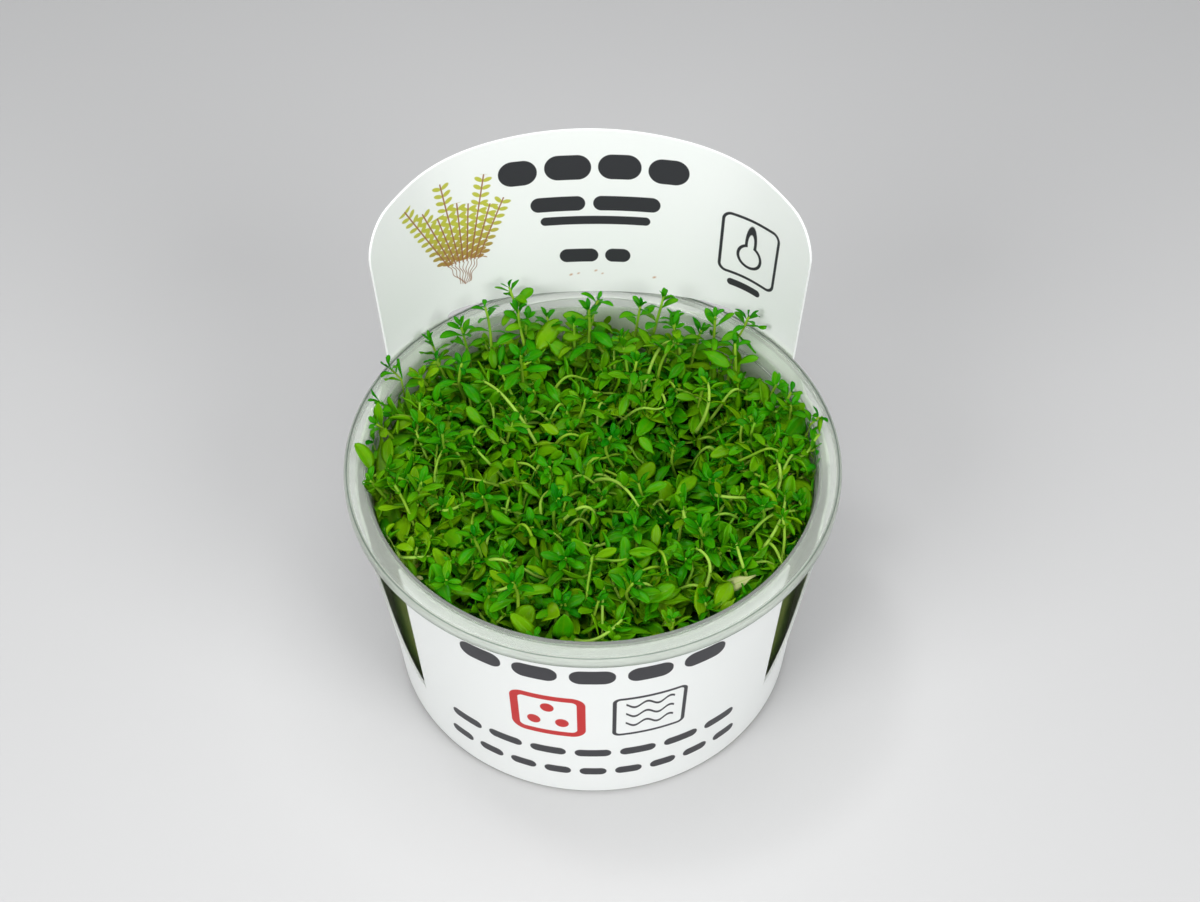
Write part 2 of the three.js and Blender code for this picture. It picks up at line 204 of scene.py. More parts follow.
SINGLE_LEAVES = [
    ((-13, 31, 55), (-8, 35, 62), 4.2, 0.7), ((-43.5, 7, 57), (-42, -4, 55), 3.6, 0.7),
    ((-1, -33, 56.5), (-2, -27, 59), 3.6, 0.5), ((-25, -22, 56), (-29, -18, 57), 4.4, 0.55),
    ((-5, -11, 57), (-7, -5, 59), 2.4, 0.6), ((16, -8, 55), (21, -4, 57), 2.8, 0.65),
    ((30.8, -31.9, 61), (24.2, -33.5, 58.6), 2.6, 1.15), ((27.0, -35.0, 58), (24.2, -36.8, 55), 2.2, 0.8),
    ((-34, -28, 55.5), (-32.6, -28.7, 55.5), 0.8, 1.15), ((-10.6, 33.6, 58), (-4.6, 28.5, 57.5), 3.6, 0.55),
    ((-2, 32.3, 60), (-6.2, 31.4, 61), 2.4, 0.65), ((3.6, 28.9, 59.5), (8.8, 28.3, 61), 2.8, 0.6),
    ((23, 30.1, 58), (28.3, 25.3, 59), 3.0, 0.5), ((12.6, 2.2, 56), (9.6, 5, 58.5), 2.2, 0.5),
    ((-22.1, 19.9, 59), (-26, 22.7, 60), 2.0, 0.5), ((-11.8, 7.2, 59), (-19.1, 6.7, 60), 2.5, 0.6),
    ((-11, 8.1, 59), (-7, 6.6, 58), 2.2, 0.75),
]

# Camera, worked out from the cup's rim, its foot and the header's sides, and lights, in metres
CAMERA_PLACE = (1.43, -223.34, 318.5)
CAMERA_TILT = math.radians(49.194)
CAMERA_LENS = 51.0
CAMERA_SENSOR = 36.0
FLOOR_HALF = 3000.0
LIGHT_TARGET = (0.0, 0.0, 0.05)
LIGHTS = [
    ("overhead", (0.0, -0.06, 0.7), 0.6, "key_watts"),
    ("front_left", (-0.5, -0.5, 0.5), 0.45, "side_watts"),
    ("front_right", (0.5, -0.5, 0.5), 0.45, "side_watts"),
    ("glint", (-0.2, 0.1, 0.8), 0.12, "glint_watts"),
]


def scatter(index, kind):
    """A repeatable number from 0 to 1 for an index and a kind of use."""
    wave = math.sin(index * 12.9898 + kind * 78.233) * 43758.5453
    return wave - math.floor(wave)


def smooth(share):
    """A soft step from 0 to 1, for a number or an array."""
    t = np.clip(share, 0, 1)
    return t * t * (3 - 2 * t)


def between(knots, place):
    """The value at a place between knots of (place, value), with soft turns."""
    upper = next(i for i, knot in enumerate(knots) if knot[0] >= place or i == len(knots) - 1)
    upper = max(1, upper)
    (x0, y0), (x1, y1) = knots[upper - 1], knots[upper]
    return y0 + (y1 - y0) * float(smooth((place - x0) / (x1 - x0)))


def cup_outer_radius(z):
    return CUP_BASE_RADIUS + (CUP_NECK_RADIUS - CUP_BASE_RADIUS) * z / (CUP_HEIGHT - RIM_THICKNESS)


def cup_inner_radius(z):
    return cup_outer_radius(z) - CUP_WALL


def carpet_height(x, y):
    """Height of the carpet over a point of the plan, as the frame's own carpet has it, without its lumps."""
    edge = CARPET_EDGE_RISE * smooth((np.hypot(x, y) - 18) / 24) * (1 - 1.7 * smooth((y - 12) / 26))
    hollow = CARPET_HOLLOW * np.exp(-((x - 17) ** 2 + (y - 7) ** 2) / 150)
    waves = 1.3 * np.sin(x * 0.23 + 1) * np.cos(y * 0.21 - 0.6)
    return CARPET_MIDDLE + edge - hollow + waves


def canopy_height(x, y):
    """Mean height of the shoots' tips in clumps: higher at the sides, lower in the hollow and in front."""
    at_side = smooth((abs(x) - 30) / 12) * (1 - smooth((abs(y) - 16) / 14))
    hollow = np.exp(-((x - HOLLOW_CENTRE[0]) ** 2 + (y - HOLLOW_CENTRE[1]) ** 2) / 190)
    at_front = smooth((np.hypot(x, y) - 30) / 12) * smooth((-y - 14) / 14)
    clumps = np.sin(x * 0.4 + 1.3 * np.sin(y * 0.31)) * np.sin(y * 0.38 + 1.1 * np.sin(x * 0.27) + 2)
    return carpet_height(x, y) + 2.8 + 1.8 * at_side - 5.2 * hollow - 2.2 * at_front + 1.9 * clumps


# Settings that a user would change


def a_colour(name, description, default):
    return bpy.props.FloatVectorProperty(
        name=name, description=description, subtype="COLOR", default=default, min=0, max=1,
    )


def a_number(name, description, default, least, most):
    return bpy.props.IntProperty(name=name, description=description, default=default, min=least, max=most)


def a_length(name, description, default):
    return bpy.props.FloatProperty(name=name, description=description, default=default * MM, unit="LENGTH")


def a_power(name, description, default):
    return bpy.props.FloatProperty(name=name, description=description, default=default, min=0, unit="POWER")


class PearlweedCup(bpy.types.PropertyGroup):
    """Finish of the cup and the gel."""

    tint: a_colour("Plastic tint", "Colour that light takes in the plastic", (0.84, 0.89, 0.83))
    roughness: bpy.props.FloatProperty(
        name="Plastic roughness", description="How cloudy the moulded plastic is", default=0.08, min=0, max=1,
    )
    gel_tint: a_colour("Gel tint", "Colour of the culture gel", (0.86, 0.8, 0.5))


class PearlweedSleeve(bpy.types.PropertyGroup):
    """Colours of the card and its print."""

    card: a_colour("Card", "Colour of the coated card", (0.9, 0.92, 0.905))
    ink: a_colour("Ink", "Colour of the dark print", (0.035, 0.035, 0.04))
    red: a_colour("Red", "Colour of the red badge", (0.5, 0.02, 0.02))
    leaf: a_colour("Printed leaf", "Colour of the printed sprig", (0.52, 0.54, 0.06))


class PearlweedFoliage(bpy.types.PropertyGroup):
    """Sizes, numbers and colours of the shoots."""

    shoots: a_number("Shoots", "Shoots in the carpet", 245, 20, 600)
    runners: a_number("Runners", "Bare stems that arch over the carpet", 105, 0, 200)
    loose_leaves: a_number("Lower leaves", "Older leaves under the shoots' tips", 680, 0, 1500)
    leaf_length: a_length("Leaf length", "Length of a full-grown leaf", 6.7)
    leaf_width: a_length("Leaf width", "Width of a full-grown leaf", 2.45)
    deep: a_colour("Young leaf", "Colour of the small leaves at the tips", (0.003, 0.18, 0.001))
    fresh: a_colour("Grown leaf", "Colour of the grown leaves", (0.034, 0.32, 0.001))
    pale: a_colour("Old leaf", "Colour of the oldest green leaves", (0.2, 0.42, 0.003))
    withered: a_colour("Withered leaf", "Colour of the few withered leaves", (0.5, 0.52, 0.22))
    stem: a_colour("Stem", "Colour of the stems", (0.24, 0.44, 0.02))


class PearlweedStage(bpy.types.PropertyGroup):
    """Floor and lights."""

    floor: a_colour("Floor", "Colour of the floor", (0.5, 0.5, 0.5))
    key_watts: a_power("Key light", "Power of the large light overhead", 3.2)
    side_watts: a_power("Side lights", "Power of each light in front", 4.15)
    glint_watts: a_power("Glint light", "Power of the small light that the leaves reflect", 0.7)


# Materials


def maths_method(operation):
    return lambda self, *others: self.maths(operation, *others)


class Wire:
    """A socket's output in shader maths: a sum or product of wires adds its Math node."""

    def __init__(self, tree, socket):
        self.tree = tree
        self.socket = socket

    def maths(self, operation, *others):
        values = dict(enumerate((self, *others)))
        made = add_node(self.tree, "ShaderNodeMath", {"operation": operation}, values)
        return Wire(self.tree, made.outputs[0])

    __add__ = __radd__ = maths_method("ADD")
    __sub__ = maths_method("SUBTRACT")
    __mul__ = __rmul__ = maths_method("MULTIPLY")
    __truediv__ = maths_method("DIVIDE")
    __abs__ = maths_method("ABSOLUTE")
    least = maths_method("MINIMUM")
    most = maths_method("MAXIMUM")
    above = maths_method("GREATER_THAN")
    sine = maths_method("SINE")

    def __rsub__(self, other):
        return self.maths("MULTIPLY_ADD", -1.0, other)

    def __neg__(self):
        return self * -1.0

    def length_with(self, other):
        return (self * self + other * other).maths("SQRT")

    def folded(self, period):
        """Distance along one repeat, from minus half a period to half a period."""
        return self.maths("WRAP", period / 2, -period / 2)

    def clamped(self):
        return self.most(0.0).least(1.0)


def add_node(tree, kind, settings, sockets):
    """A new node: its settings, then its sockets by name or number, as wires, numbers or plain colours."""
    made = tree.nodes.new(kind)
    for name, value in settings.items():
        setattr(made, name, value)
    for name, value in sockets.items():
        socket = made.inputs[name]
        if isinstance(value, Wire):
            tree.links.new(value.socket, socket)
        else:
            socket.default_value = (*value, 1.0) if socket.type == "RGBA" else value
    return made


def material(name):
    """A new material and its empty tree."""
    made = bpy.data.materials.new(name)
    made.use_nodes = True
    made.node_tree.nodes.clear()
    return made, made.node_tree


def finished(made, surface, volume=None):
    sockets = {"Surface": surface}
    if volume:
        sockets["Volume"] = volume
    add_node(made.node_tree, "ShaderNodeOutputMaterial", {}, sockets)
    return made


def shader(tree, kind, sockets):
    return Wire(tree, add_node(tree, kind, {}, sockets).outputs[0])


def principled(tree, sockets):
    return shader(tree, "ShaderNodeBsdfPrincipled", sockets)


def parts(tree, kind, socket):
    """The three parts of a vector or a colour."""
    made = add_node(tree, kind, {}, {0: Wire(tree, socket)})
    return [Wire(tree, made.outputs[i]) for i in range(3)]


def object_socket(tree):
    return add_node(tree, "ShaderNodeTexCoord", {}, {}).outputs["Object"]


def place(tree):
    """The piece's own coordinates in millimetres, as three wires."""
    return [part * (1 / MM) for part in parts(tree, "ShaderNodeSeparateXYZ", object_socket(tree))]


def noise(tree, scale, detail=3.0, vector=None):
    """Noise over the piece, or over another vector."""
    vector = vector or Wire(tree, object_socket(tree))
    sockets = {"Vector": vector, "Scale": scale, "Detail": detail, "Roughness": NOISE_ROUGHNESS}
    return shader(tree, "ShaderNodeTexNoise", sockets)


def mix(factor, first, second):
    """A colour mixed from two colours, by a wire that is clamped."""
    settings = {"data_type": "RGBA", "clamp_factor": True}
    made = add_node(factor.tree, "ShaderNodeMix", settings, {0: factor, 6: first, 7: second})
    return Wire(factor.tree, made.outputs[2])


def bump(height, strength, distance):
    sockets = {"Height": height, "Strength": strength, "Distance": distance}
    return shader(height.tree, "ShaderNodeBump", sockets)


def seeping(share, colour):
    """Sockets for a little emission that stands in for the light that seeps through the cup's wall."""
    return {"Emission Color": mix(share, (0.0, 0.0, 0.0), colour), "Emission Strength": SEEPING_LIGHT}


def lit_through(surface, share, colour):
    """The surface with a share of light that comes through it in a colour."""
    through = shader(surface.tree, "ShaderNodeBsdfTranslucent", {"Color": colour})
    return shader(surface.tree, "ShaderNodeMixShader", {0: share, 1: surface, 2: through})


def clear_plastic(cup):
    """Moulded clear plastic, a little cloudy, with faint flow marks, painted shade at the rim's fold and
    lip's foot, and painted plant green low down.
    """
    made, tree = material("clear_plastic")
    x, y, z = place(tree)
    from_axis = x.length_with(y)
    at_rim = (from_axis - CUP_NECK_RADIUS + 1.4).clamped()
    at_lip = (from_axis - RIM_RADIUS + 1.6).clamped()
    # painted shade: a thin dark line along the rim's fold, where the lip is seen edge-on
    fold = (1.0 - abs(from_axis - RIM_RADIUS + 0.55) * 4.0).clamped() * (z - CUP_HEIGHT + 1.0).clamped()
    # painted shadow: a dark line at the lip's foot, just above the card
    lip_foot_shadow = (1.0 - abs(z - CUP_HEIGHT + LIP_DROP - 0.2) * 2.5).clamped() * at_lip
    # painted light: the plants' green painted into the plastic low on the wall, weaker at the back
    painted_plant_green = ((56.0 - z) / 9.0).clamped() * (((10.0 - y) / 20.0).clamped() * 0.75 + 0.25)
    surface = principled(tree, {
        "Base Color": mix(
            fold.most(lip_foot_shadow), mix(painted_plant_green, (0.93, 0.96, 0.91), (0.54, 0.58, 0.17)), (0.1, 0.15, 0.11),
        ),
        "Roughness": noise(tree, 120.0, 2.0) * 0.05 + at_rim * 0.1 + at_lip * 0.12 + cup.roughness,
        "IOR": 1.44,
        "Transmission Weight": CUP_CLEARNESS,
    })
    absorption = {"Color": cup.tint, "Density": CUP_ABSORPTION}
    return finished(made, surface, shader(tree, "ShaderNodeVolumeAbsorption", absorption))


def gel_material(cup):
    """Set culture gel: clear, yellowish and soft-surfaced."""
    made, tree = material("culture_gel")
    ripple = noise(tree, 90.0)
    return finished(made, principled(tree, {
        "Base Color": cup.gel_tint,
        "Roughness": ripple * 0.1 + 0.15,
        "IOR": 1.34,
        "Transmission Weight": 0.85,
        "Normal": bump(ripple, 0.3, 0.0006),
    }))


def rounded_box(across, up, centre, half_size, rounding):
    """Signed distance in millimetres to a box with rounded corners."""
    beside = abs(across - centre[0]) - (half_size[0] - rounding)
    above = abs(up - centre[1]) - (half_size[1] - rounding)
    outside = beside.most(0.0).length_with(above.most(0.0))
    return outside + beside.most(above).least(0.0) - rounding


def ellipse(across, up, centre, radii, turn=0.0):
    """Nearly the signed distance to a turned ellipse."""
    cosine, sine = math.cos(turn), math.sin(turn)
    x, y = across - centre[0], up - centre[1]
    along = (x * cosine + y * sine) / radii[0]
    beside = (y * cosine - x * sine) / radii[1]
    return (along.length_with(beside) - 1.0) * min(radii)


def broken_line(across, up, height, half_height, rounding, period, gap, reach):
    """A line of rounded blocks at a height."""
    half_size = ((period - gap) / 2, half_height)
    block = rounded_box(across.folded(period), up, (0.0, height), half_size, rounding)
    return block.most(abs(across) - reach)


def outlined(distance, half_width):
    return abs(distance) - half_width


def inked(shapes, softness=0.12):
    """How much ink lies on shapes, by the signed distances from their edges."""
    return (0.5 - reduce(Wire.least, shapes) / softness).clamped()


def header_ink(across, up):
    """Dark print of the header: a bold heading of blocks, finer bars and a plain drop badge."""
    shapes = [rounded_box(across, up, block[:2], block[2:], block[3]) for block in HEADER_BLOCKS]
    drop = ellipse(across, up, (35.8, 75.8), (2.8, 2.8)).least(ellipse(across, up, (35.8, 79.2), (1.1, 3.6)))
    frame_box = rounded_box(across, up, (35.8, 77.6), (6.8, 7.6), 1.8)
    return inked(shapes + [outlined(frame_box, 0.35), outlined(drop, 0.35)])


def header_sprig(across, up):
    """Printed tuft of fanned stems with small leaves, and its masks for leaves and for stems and roots."""
    leaves = []
    stems = []
    for k in range(TUFT_STEMS):
        turn = 0.42 - k * 0.105
        height = 17.5 + 4.5 * math.sin(k * 2.2 + 1.0)
        x, y = across - (TUFT_PLACE[0] + k * 0.85), up - TUFT_PLACE[1]
        along = y * math.cos(turn) - x * math.sin(turn)
        beside = x * math.cos(turn) + y * math.sin(turn)
        leaf = ellipse(abs(beside), (along + k * 0.7).folded(1.9), (0.95, 0.2), (1.0, 0.5), 0.5)
        leaves.append(leaf.most(abs(along - height * 0.52) - height * 0.48))
        root = abs(beside + (along * 1.7 + k).sine() * 0.25) - 0.09
        stems.append(root.most(abs(along + 3.0) - 3.0))
        stems.append(rounded_box(beside, along, (0.0, height / 2), (0.16, height / 2), 0.16))
    return inked(leaves), inked(stems)


def header_specks(across, up):
    specks = [ellipse(across, up, (x, z), (size, size * 0.6), 0.4) for x, z, size in HEADER_SPECKS]
    return inked(specks, 0.3)


def inner_ink(across, up):
    """Two faint broken lines on the inner face, low behind the cup's wall on the left."""
    off_left = abs(across + 31.0) - 9.0
    return inked([broken_line(across, up, *line).most(off_left) for line in INNER_LINES])


def front_ink(across, up):
    """Dark print of the front: a broken band under the rim, two broken lines and a wave badge."""
    shapes = [broken_line(across, up, *line) for line in FRONT_LINES]
    shapes.append(outlined(rounded_box(across, up, (11.2, 31.8), (7.0, 7.0), 1.2), 0.4))
    for height in WAVE_HEIGHTS:
        wave = up - height - (across * 1.35).sine() * 0.8
        shapes.append(outlined(wave, 0.4).most(abs(across - 11.2) - 4.8))
    return inked(shapes)


def front_red(across, up):
    """Red print of the front: a bold rounded frame round three dots."""
    frame_box = rounded_box(across, up, (-8.8, 31.8), (6.6, 6.8), 2.0)
    return inked([outlined(frame_box, 0.85)] + [ellipse(across, up, dot, (1.35, 1.6)) for dot in FRONT_DOTS])


def facing_outside(tree, x, y):
    """1 where the true surface faces away from the cup's axis, and 0 where it faces the axis."""
    geometry = add_node(tree, "ShaderNodeNewGeometry", {}, {})
    normal = parts(tree, "ShaderNodeSeparateXYZ", geometry.outputs["True Normal"])
    return (normal[0] * x + normal[1] * y).above(0.0)


def white_card(sleeve):
    """Coated white card with a plain print, a faint grain, a satin coat and a painted glow on its inner face
    under the rim.
    """
    made, tree = material("white_card")
    x, y, z = place(tree)
    behind = x.maths("ARCTAN2", y) * HEADER_RADIUS
    before = x.maths("ARCTAN2", -y) * ((CUP_BASE_RADIUS + CUP_NECK_RADIUS) / 2)
    is_outside = facing_outside(tree, x, y)
    at_front = y.maths("LESS_THAN", 0.0) * is_outside
    behind_cup = y.above(0.0) * (1.0 - is_outside)
    in_header = z.above(CUP_HEIGHT + 2) * behind_cup
    tuft, stems = header_sprig(behind, z)
    dark = (header_ink(behind, z) * in_header).most(front_ink(before, z) * at_front)
    red = front_red(before, z) * at_front
    colour = mix(noise(tree, 22.0) * 0.06, sleeve.card, (0.74, 0.77, 0.74))
    for share, ink in (
        (tuft * in_header, mix((z - 71.0) / 11.0, (0.36, 0.17, 0.05), sleeve.leaf)),
        (stems * in_header, (0.33, 0.14, 0.06)),
        (header_specks(behind, z) * in_header, (0.6, 0.36, 0.22)),
        (inner_ink(behind, z) * behind_cup, (0.12, 0.13, 0.12)),
        (dark, sleeve.ink),
        (red, sleeve.red),
    ):
        colour = mix(share, colour, ink)
    # painted light: a faint glow on the inner face behind the cup, just under the rim
    painted_glow_under_rim = ((CUP_HEIGHT + 1.0 - z) / 3.0).clamped() * ((z - 47.0) / 9.0).clamped()
    grain = noise(tree, 900.0, 4.0)
    surface = principled(tree, {
        "Base Color": colour,
        "Roughness": grain * 0.1 + 0.36,
        "IOR": 1.45,
        "Specular IOR Level": 0.25,
        "Normal": bump(grain, 0.06, 0.0001),
        **seeping(behind_cup * painted_glow_under_rim * 0.5, (0.62, 0.8, 0.5)),
    })
    return finished(made, lit_through(surface, (1.0 - dark.most(red)) * CARD_CLEARNESS, (0.86, 0.88, 0.84)))


def by_wall(tree):
    """1 in the depth of the carpet along the cup's wall, where light seeps in, and 0 elsewhere."""
    x, y, z = place(tree)
    return (x.length_with(y) - 39.0).clamped() * ((49.0 - z) / 5.0).clamped()


def painted_shade_in_depth(tree):
    """Mask of painted shade: 1 low in the carpet away from the cup's wall, and 0 among the tips and along the
    wall.
    """
    x, y, z = place(tree)
    return ((51.0 - z) / 7.0).clamped() * (39.0 - x.length_with(y)).clamped()


def leaf_material(name, foliage):
    """Soft glossy leaf: colour by its age, a pale midrib, faint veins, and light that comes through it."""
    made, tree = material(name)
    held = add_node(tree, "ShaderNodeAttribute", {"attribute_name": "leaf"}, {})
    age, across, along = parts(tree, "ShaderNodeSeparateColor", held.outputs["Color"])
    from_rib = abs(across - 0.5) * 2.0
    blotch = noise(tree, 420.0)
    shown_age = age + blotch * 0.24 - 0.12
    colour = mix(shown_age / 0.4, foliage.deep, foliage.fresh)
    colour = mix((shown_age - 0.4) / 0.4, colour, foliage.pale)
    colour = mix((shown_age - 0.8) / 0.2, colour, foliage.withered)
    rib = (1.0 - from_rib / 0.16).clamped()
    vein = ((along * 22.0 - from_rib * 5.0).sine() * 0.5 + 0.5) * (1.0 - from_rib)
    margin = ((from_rib - 0.76) * 4.0).clamped()
    lighter = mix(age * 1.5, foliage.fresh, foliage.pale)
    colour = mix(rib * 0.45 + vein * 0.16, colour, lighter)
    colour = mix(margin * 0.4 + (along - 0.55).clamped() * 0.5, colour, lighter)
    # painted shade: leaves darker low in the carpet
    colour = mix(painted_shade_in_depth(tree) * 0.35, colour, (0.002, 0.07, 0.001))
    surface = principled(tree, {
        "Base Color": colour,
        "Roughness": blotch * 0.16 + 0.2,
        "IOR": 1.38,
        "Specular IOR Level": 0.08,
        "Coat Weight": 0.12,
        "Coat Roughness": 0.12,
        "Coat IOR": 1.33,
        "Normal": bump(rib * -0.8 + vein * 0.35 + blotch * 0.5, 0.5, 0.0001),
        **seeping(by_wall(tree), colour),
    })
    return finished(made, lit_through(surface, 0.38, (0.07, 0.52, 0.001)))


def stem_material(name, foliage):
    """Pale juicy stem, greener in patches, with fine lengthwise streaks."""
    made, tree = material(name)
    held = add_node(tree, "ShaderNodeAttribute", {"attribute_name": "leaf"}, {})
    paleness = Wire(tree, held.outputs["Fac"])
    streak = noise(tree, 1500.0, 2.0)
    colour = mix(noise(tree, 160.0) * 3.0 - 0.6, foliage.fresh, foliage.stem)
    colour = mix(paleness * 0.8, colour, (0.35, 0.57, 0.08))
    # painted shade: stems darker green low in the carpet
    colour = mix(painted_shade_in_depth(tree) * 0.7, colour, (0.02, 0.16, 0.002))
    surface = principled(tree, {
        "Base Color": mix(streak * 0.25, colour, foliage.pale),
        "Roughness": streak * 0.2 + 0.25,
        "IOR": 1.4,
        "Specular IOR Level": 0.2,
        "Normal": bump(streak, 0.25, 0.00005),
        **seeping(by_wall(tree), colour),
    })
    return finished(made, lit_through(surface, 0.22, (0.42, 0.6, 0.1)))


def heart_material(foliage):
    """Painted shade inside the carpet: a dark stand-in for shaded leaves, and upright olive stems along the
    cup's wall with a painted glow.
    """
    made, tree = material("carpet_heart")
    x, y, z = place(tree)
    around = abs(x.maths("ARCTAN2", -y)) * (180 / math.pi)
    stretched = shader(tree, "ShaderNodeCombineXYZ", {0: around, 1: z * 0.05, 2: x.length_with(y) * 0.3})
    upright = noise(tree, 0.8, vector=stretched)
    lumps = noise(tree, 330.0, 4.0)
    is_side = (x.length_with(y) - 39.3).clamped()
    olive = mix(upright * 3.0 - 1.0, (0.04, 0.042, 0.003), (0.2, 0.21, 0.03))
    # painted shade: near-black green for the shaded leaves inside the carpet
    inner = mix((lumps * 3.0 - 1.5).clamped() * 0.6, (0.003, 0.05, 0.001), foliage.deep)
    return finished(made, principled(tree, {
        "Base Color": mix(is_side, inner, olive),
        "Roughness": lumps * 0.3 + 0.4,
        "Normal": bump(lumps + upright, 0.8, 0.0008),
        **seeping(is_side, olive),
    }))


def floor_material(stage):
    made, tree = material("floor")
    return finished(made, principled(tree, {"Base Color": stage.floor, "Roughness": 0.55}))


# Meshes


def mesh_of(name, points, faces):
    """A smooth mesh from points and faces of four point numbers, where a repeat makes a triangle."""
    mesh = bpy.data.meshes.new(name)
    outlines = [list(dict.fromkeys(face)) for face in np.asarray(faces).tolist()]
    mesh.from_pydata((np.asarray(points) * MM).tolist(), [], outlines)
    mesh.polygons.foreach_set("use_smooth", np.ones(len(outlines), bool))
    return mesh


def linked(name, mesh, materials):
    for made in materials:
        mesh.materials.append(made)
    mesh.validate()
    mesh.update()
    piece = bpy.data.objects.new(name, mesh)
    bpy.context.scene.collection.objects.link(piece)
    return piece


def mesh_object(name, shape, made, sharp_degrees=180):
    """An object of one material from points and faces, smooth up to an angle between faces."""
    mesh = mesh_of(name, *shape)
    mesh.set_sharp_from_angle(angle=math.radians(sharp_degrees))
    return linked(name, mesh, [made])


def stands_for(piece, slot, *nodes):
    """The piece rides on the one body and takes the place of the frame's nodes; the slot is not used."""
    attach(piece, BODY)
    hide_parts(*nodes)


def circle(radius, sides):
    """x and y of points round a circle."""
    angles = 2 * math.pi * np.arange(sides) / sides
    return radius * np.cos(angles), radius * np.sin(angles)


def ring(radius, z, sides):
    return np.stack([*circle(radius, sides), np.full(sides, z)], 1)


def closed_rings(rings, first, last):
    """Points and faces of a skin over rings of points, closed at a point below them and one above them."""
    rings = np.asarray(rings)
    count, sides = rings.shape[:2]
    points = np.concatenate([[first], rings.reshape(-1, 3), [last]])
    numbers = np.zeros((count + 2, sides), int)
    numbers[1:-1] = 1 + np.arange(count * sides).reshape(count, sides)
    numbers[-1] = len(points) - 1
    after = np.roll(numbers, -1, axis=1)
    faces = np.stack([numbers[:-1], after[:-1], after[1:], numbers[1:]], -1)
    return points, faces.reshape(-1, 4)


def turned(profile, sides):
    """A profile of radii and heights turned round the cup's axis, where it starts and ends."""
    rings = [ring(r, z, sides) for r, z in profile[1:-1]]
    return closed_rings(rings, (0.0, 0.0, profile[0][1]), (0.0, 0.0, profile[-1][1]))


def curve(start, middle, end, t):
    """Places on a curve that leaves its start and reaches its end towards its middle."""
    return (1 - t) ** 2 * start + 2 * t * (1 - t) * middle + t ** 2 * end


def rounded_profile(corners, steps=5):
    """A profile of (radius, height, rounding) corners, with each rounding as an arc-like curve."""
    points = []
    for i, (r, z, rounding) in enumerate(corners):
        here = np.array([r, z], float)
        if rounding == 0:
            points.append(here)
            continue
        before = np.array(corners[i - 1][:2], float) - here
        after = np.array(corners[(i + 1) % len(corners)][:2], float) - here
        start = here + before / np.linalg.norm(before) * rounding
        end = here + after / np.linalg.norm(after) * rounding
        points += [curve(start, here, end, step / steps) for step in range(steps + 1)]
    return points


def cup_profile():
    """The cup's section: foot ring, tapered wall, seat for the lid, and a rim with a turned-down lip."""
    floor_top = FOOT_HEIGHT + CUP_FLOOR
    rim_under = CUP_HEIGHT - RIM_THICKNESS
    lip_inside = RIM_RADIUS - LIP_THICKNESS
    lip_bottom = CUP_HEIGHT - LIP_DROP
    seat = CUP_HEIGHT - SEAT_DEPTH
    seat_radius = cup_inner_radius(seat) + SEAT_STEP
    return rounded_profile([
        (0, FOOT_HEIGHT, 0),
        (CUP_BASE_RADIUS - FOOT_WIDTH - FOOT_HEIGHT, FOOT_HEIGHT, 0.4),
        (CUP_BASE_RADIUS - FOOT_WIDTH, 0, 0.3),
        (CUP_BASE_RADIUS, 0, 0.45),
        (CUP_NECK_RADIUS, rim_under, 0.4),
        (lip_inside, rim_under, 0.3),
        (lip_inside, lip_bottom, 0.25),
        (RIM_RADIUS, lip_bottom, 0.3),
        (RIM_RADIUS, CUP_HEIGHT, 0.4),
        (lip_inside, CUP_HEIGHT, 0.2),
        (lip_inside - 0.2, CUP_HEIGHT - SEAT_TOP_DROP, 0.1),
        (seat_radius, CUP_HEIGHT - SEAT_TOP_DROP, 0.4),
        (seat_radius, seat, 0.2),
        (cup_inner_radius(seat - SEAT_STEP), seat - SEAT_STEP, 0.3),
        (cup_inner_radius(floor_top), floor_top, 1.4),
        (0, floor_top, 0),
    ])


def gel_profile():
    """The gel's section, with its rim drawn up along the cup's wall."""
    bottom = FOOT_HEIGHT + CUP_FLOOR + GEL_GAP
    edge = cup_inner_radius(GEL_TOP) - GEL_GAP
    return rounded_profile([
        (0, bottom, 0),
        (cup_inner_radius(bottom) - GEL_GAP, bottom, 1.5),
        (edge, GEL_TOP + GEL_MENISCUS, 0.1),
        (edge - 1.2, GEL_TOP + 0.15, 0.8),
        (edge - 3.0, GEL_TOP, 0.5),
        (0, GEL_TOP, 0),
    ])


def header_spring(angle):
    """How far the header stands off the cup: flat in the middle, and outside the rim towards its sides."""
    lie = math.radians(180 - abs(angle))
    middle = cup_outer_radius(CUP_HEIGHT) + CARD_GAP + CARD_THICKNESS
    centre = middle - HEADER_FLAT_RADIUS
    reach = math.sqrt(HEADER_FLAT_RADIUS ** 2 - (centre * math.sin(lie)) ** 2)
    flat = centre * math.cos(lie) + reach - middle
    near = max(0.0, RIM_PASS_BLEND - abs(flat - RIM_PASS))
    return min(flat, RIM_PASS) - near ** 2 / (4 * RIM_PASS_BLEND)


def card_radius(angle, z):
    """Outer radius of the card at an angle from the front, in degrees, and a height."""
    rise = float(np.clip((z - SLIT_TIP) / (SPRING_FULL_HEIGHT - SLIT_TIP), 0, 1))
    is_header = angle > SPRING_OFF[-1][0]
    spring = header_spring(angle) if is_header else between(SPRING_OFF, angle)
    return cup_outer_radius(z) + CARD_GAP + CARD_THICKNESS + spring * rise ** SPRING_POWER


def header_edge(out):
    """Top edge of the header at a distance round from its middle: a flat arc with rounded corners."""
    reach = min(abs(out), HEADER_HALF)
    arc = HEADER_TOP - HEADER_ARC_RADIUS + math.sqrt(HEADER_ARC_RADIUS ** 2 - reach ** 2)
    into_corner = min(HEADER_CORNER, max(0.0, reach - HEADER_HALF + HEADER_CORNER))
    drop = HEADER_CORNER - math.sqrt(HEADER_CORNER ** 2 - into_corner ** 2)
    return arc - drop - HEADER_LEAN * out


def out_at(angle):
    """Distance round the card from the header's middle, for an angle from the front on the +X side."""
    return HEADER_RADIUS * math.radians(180 - angle)


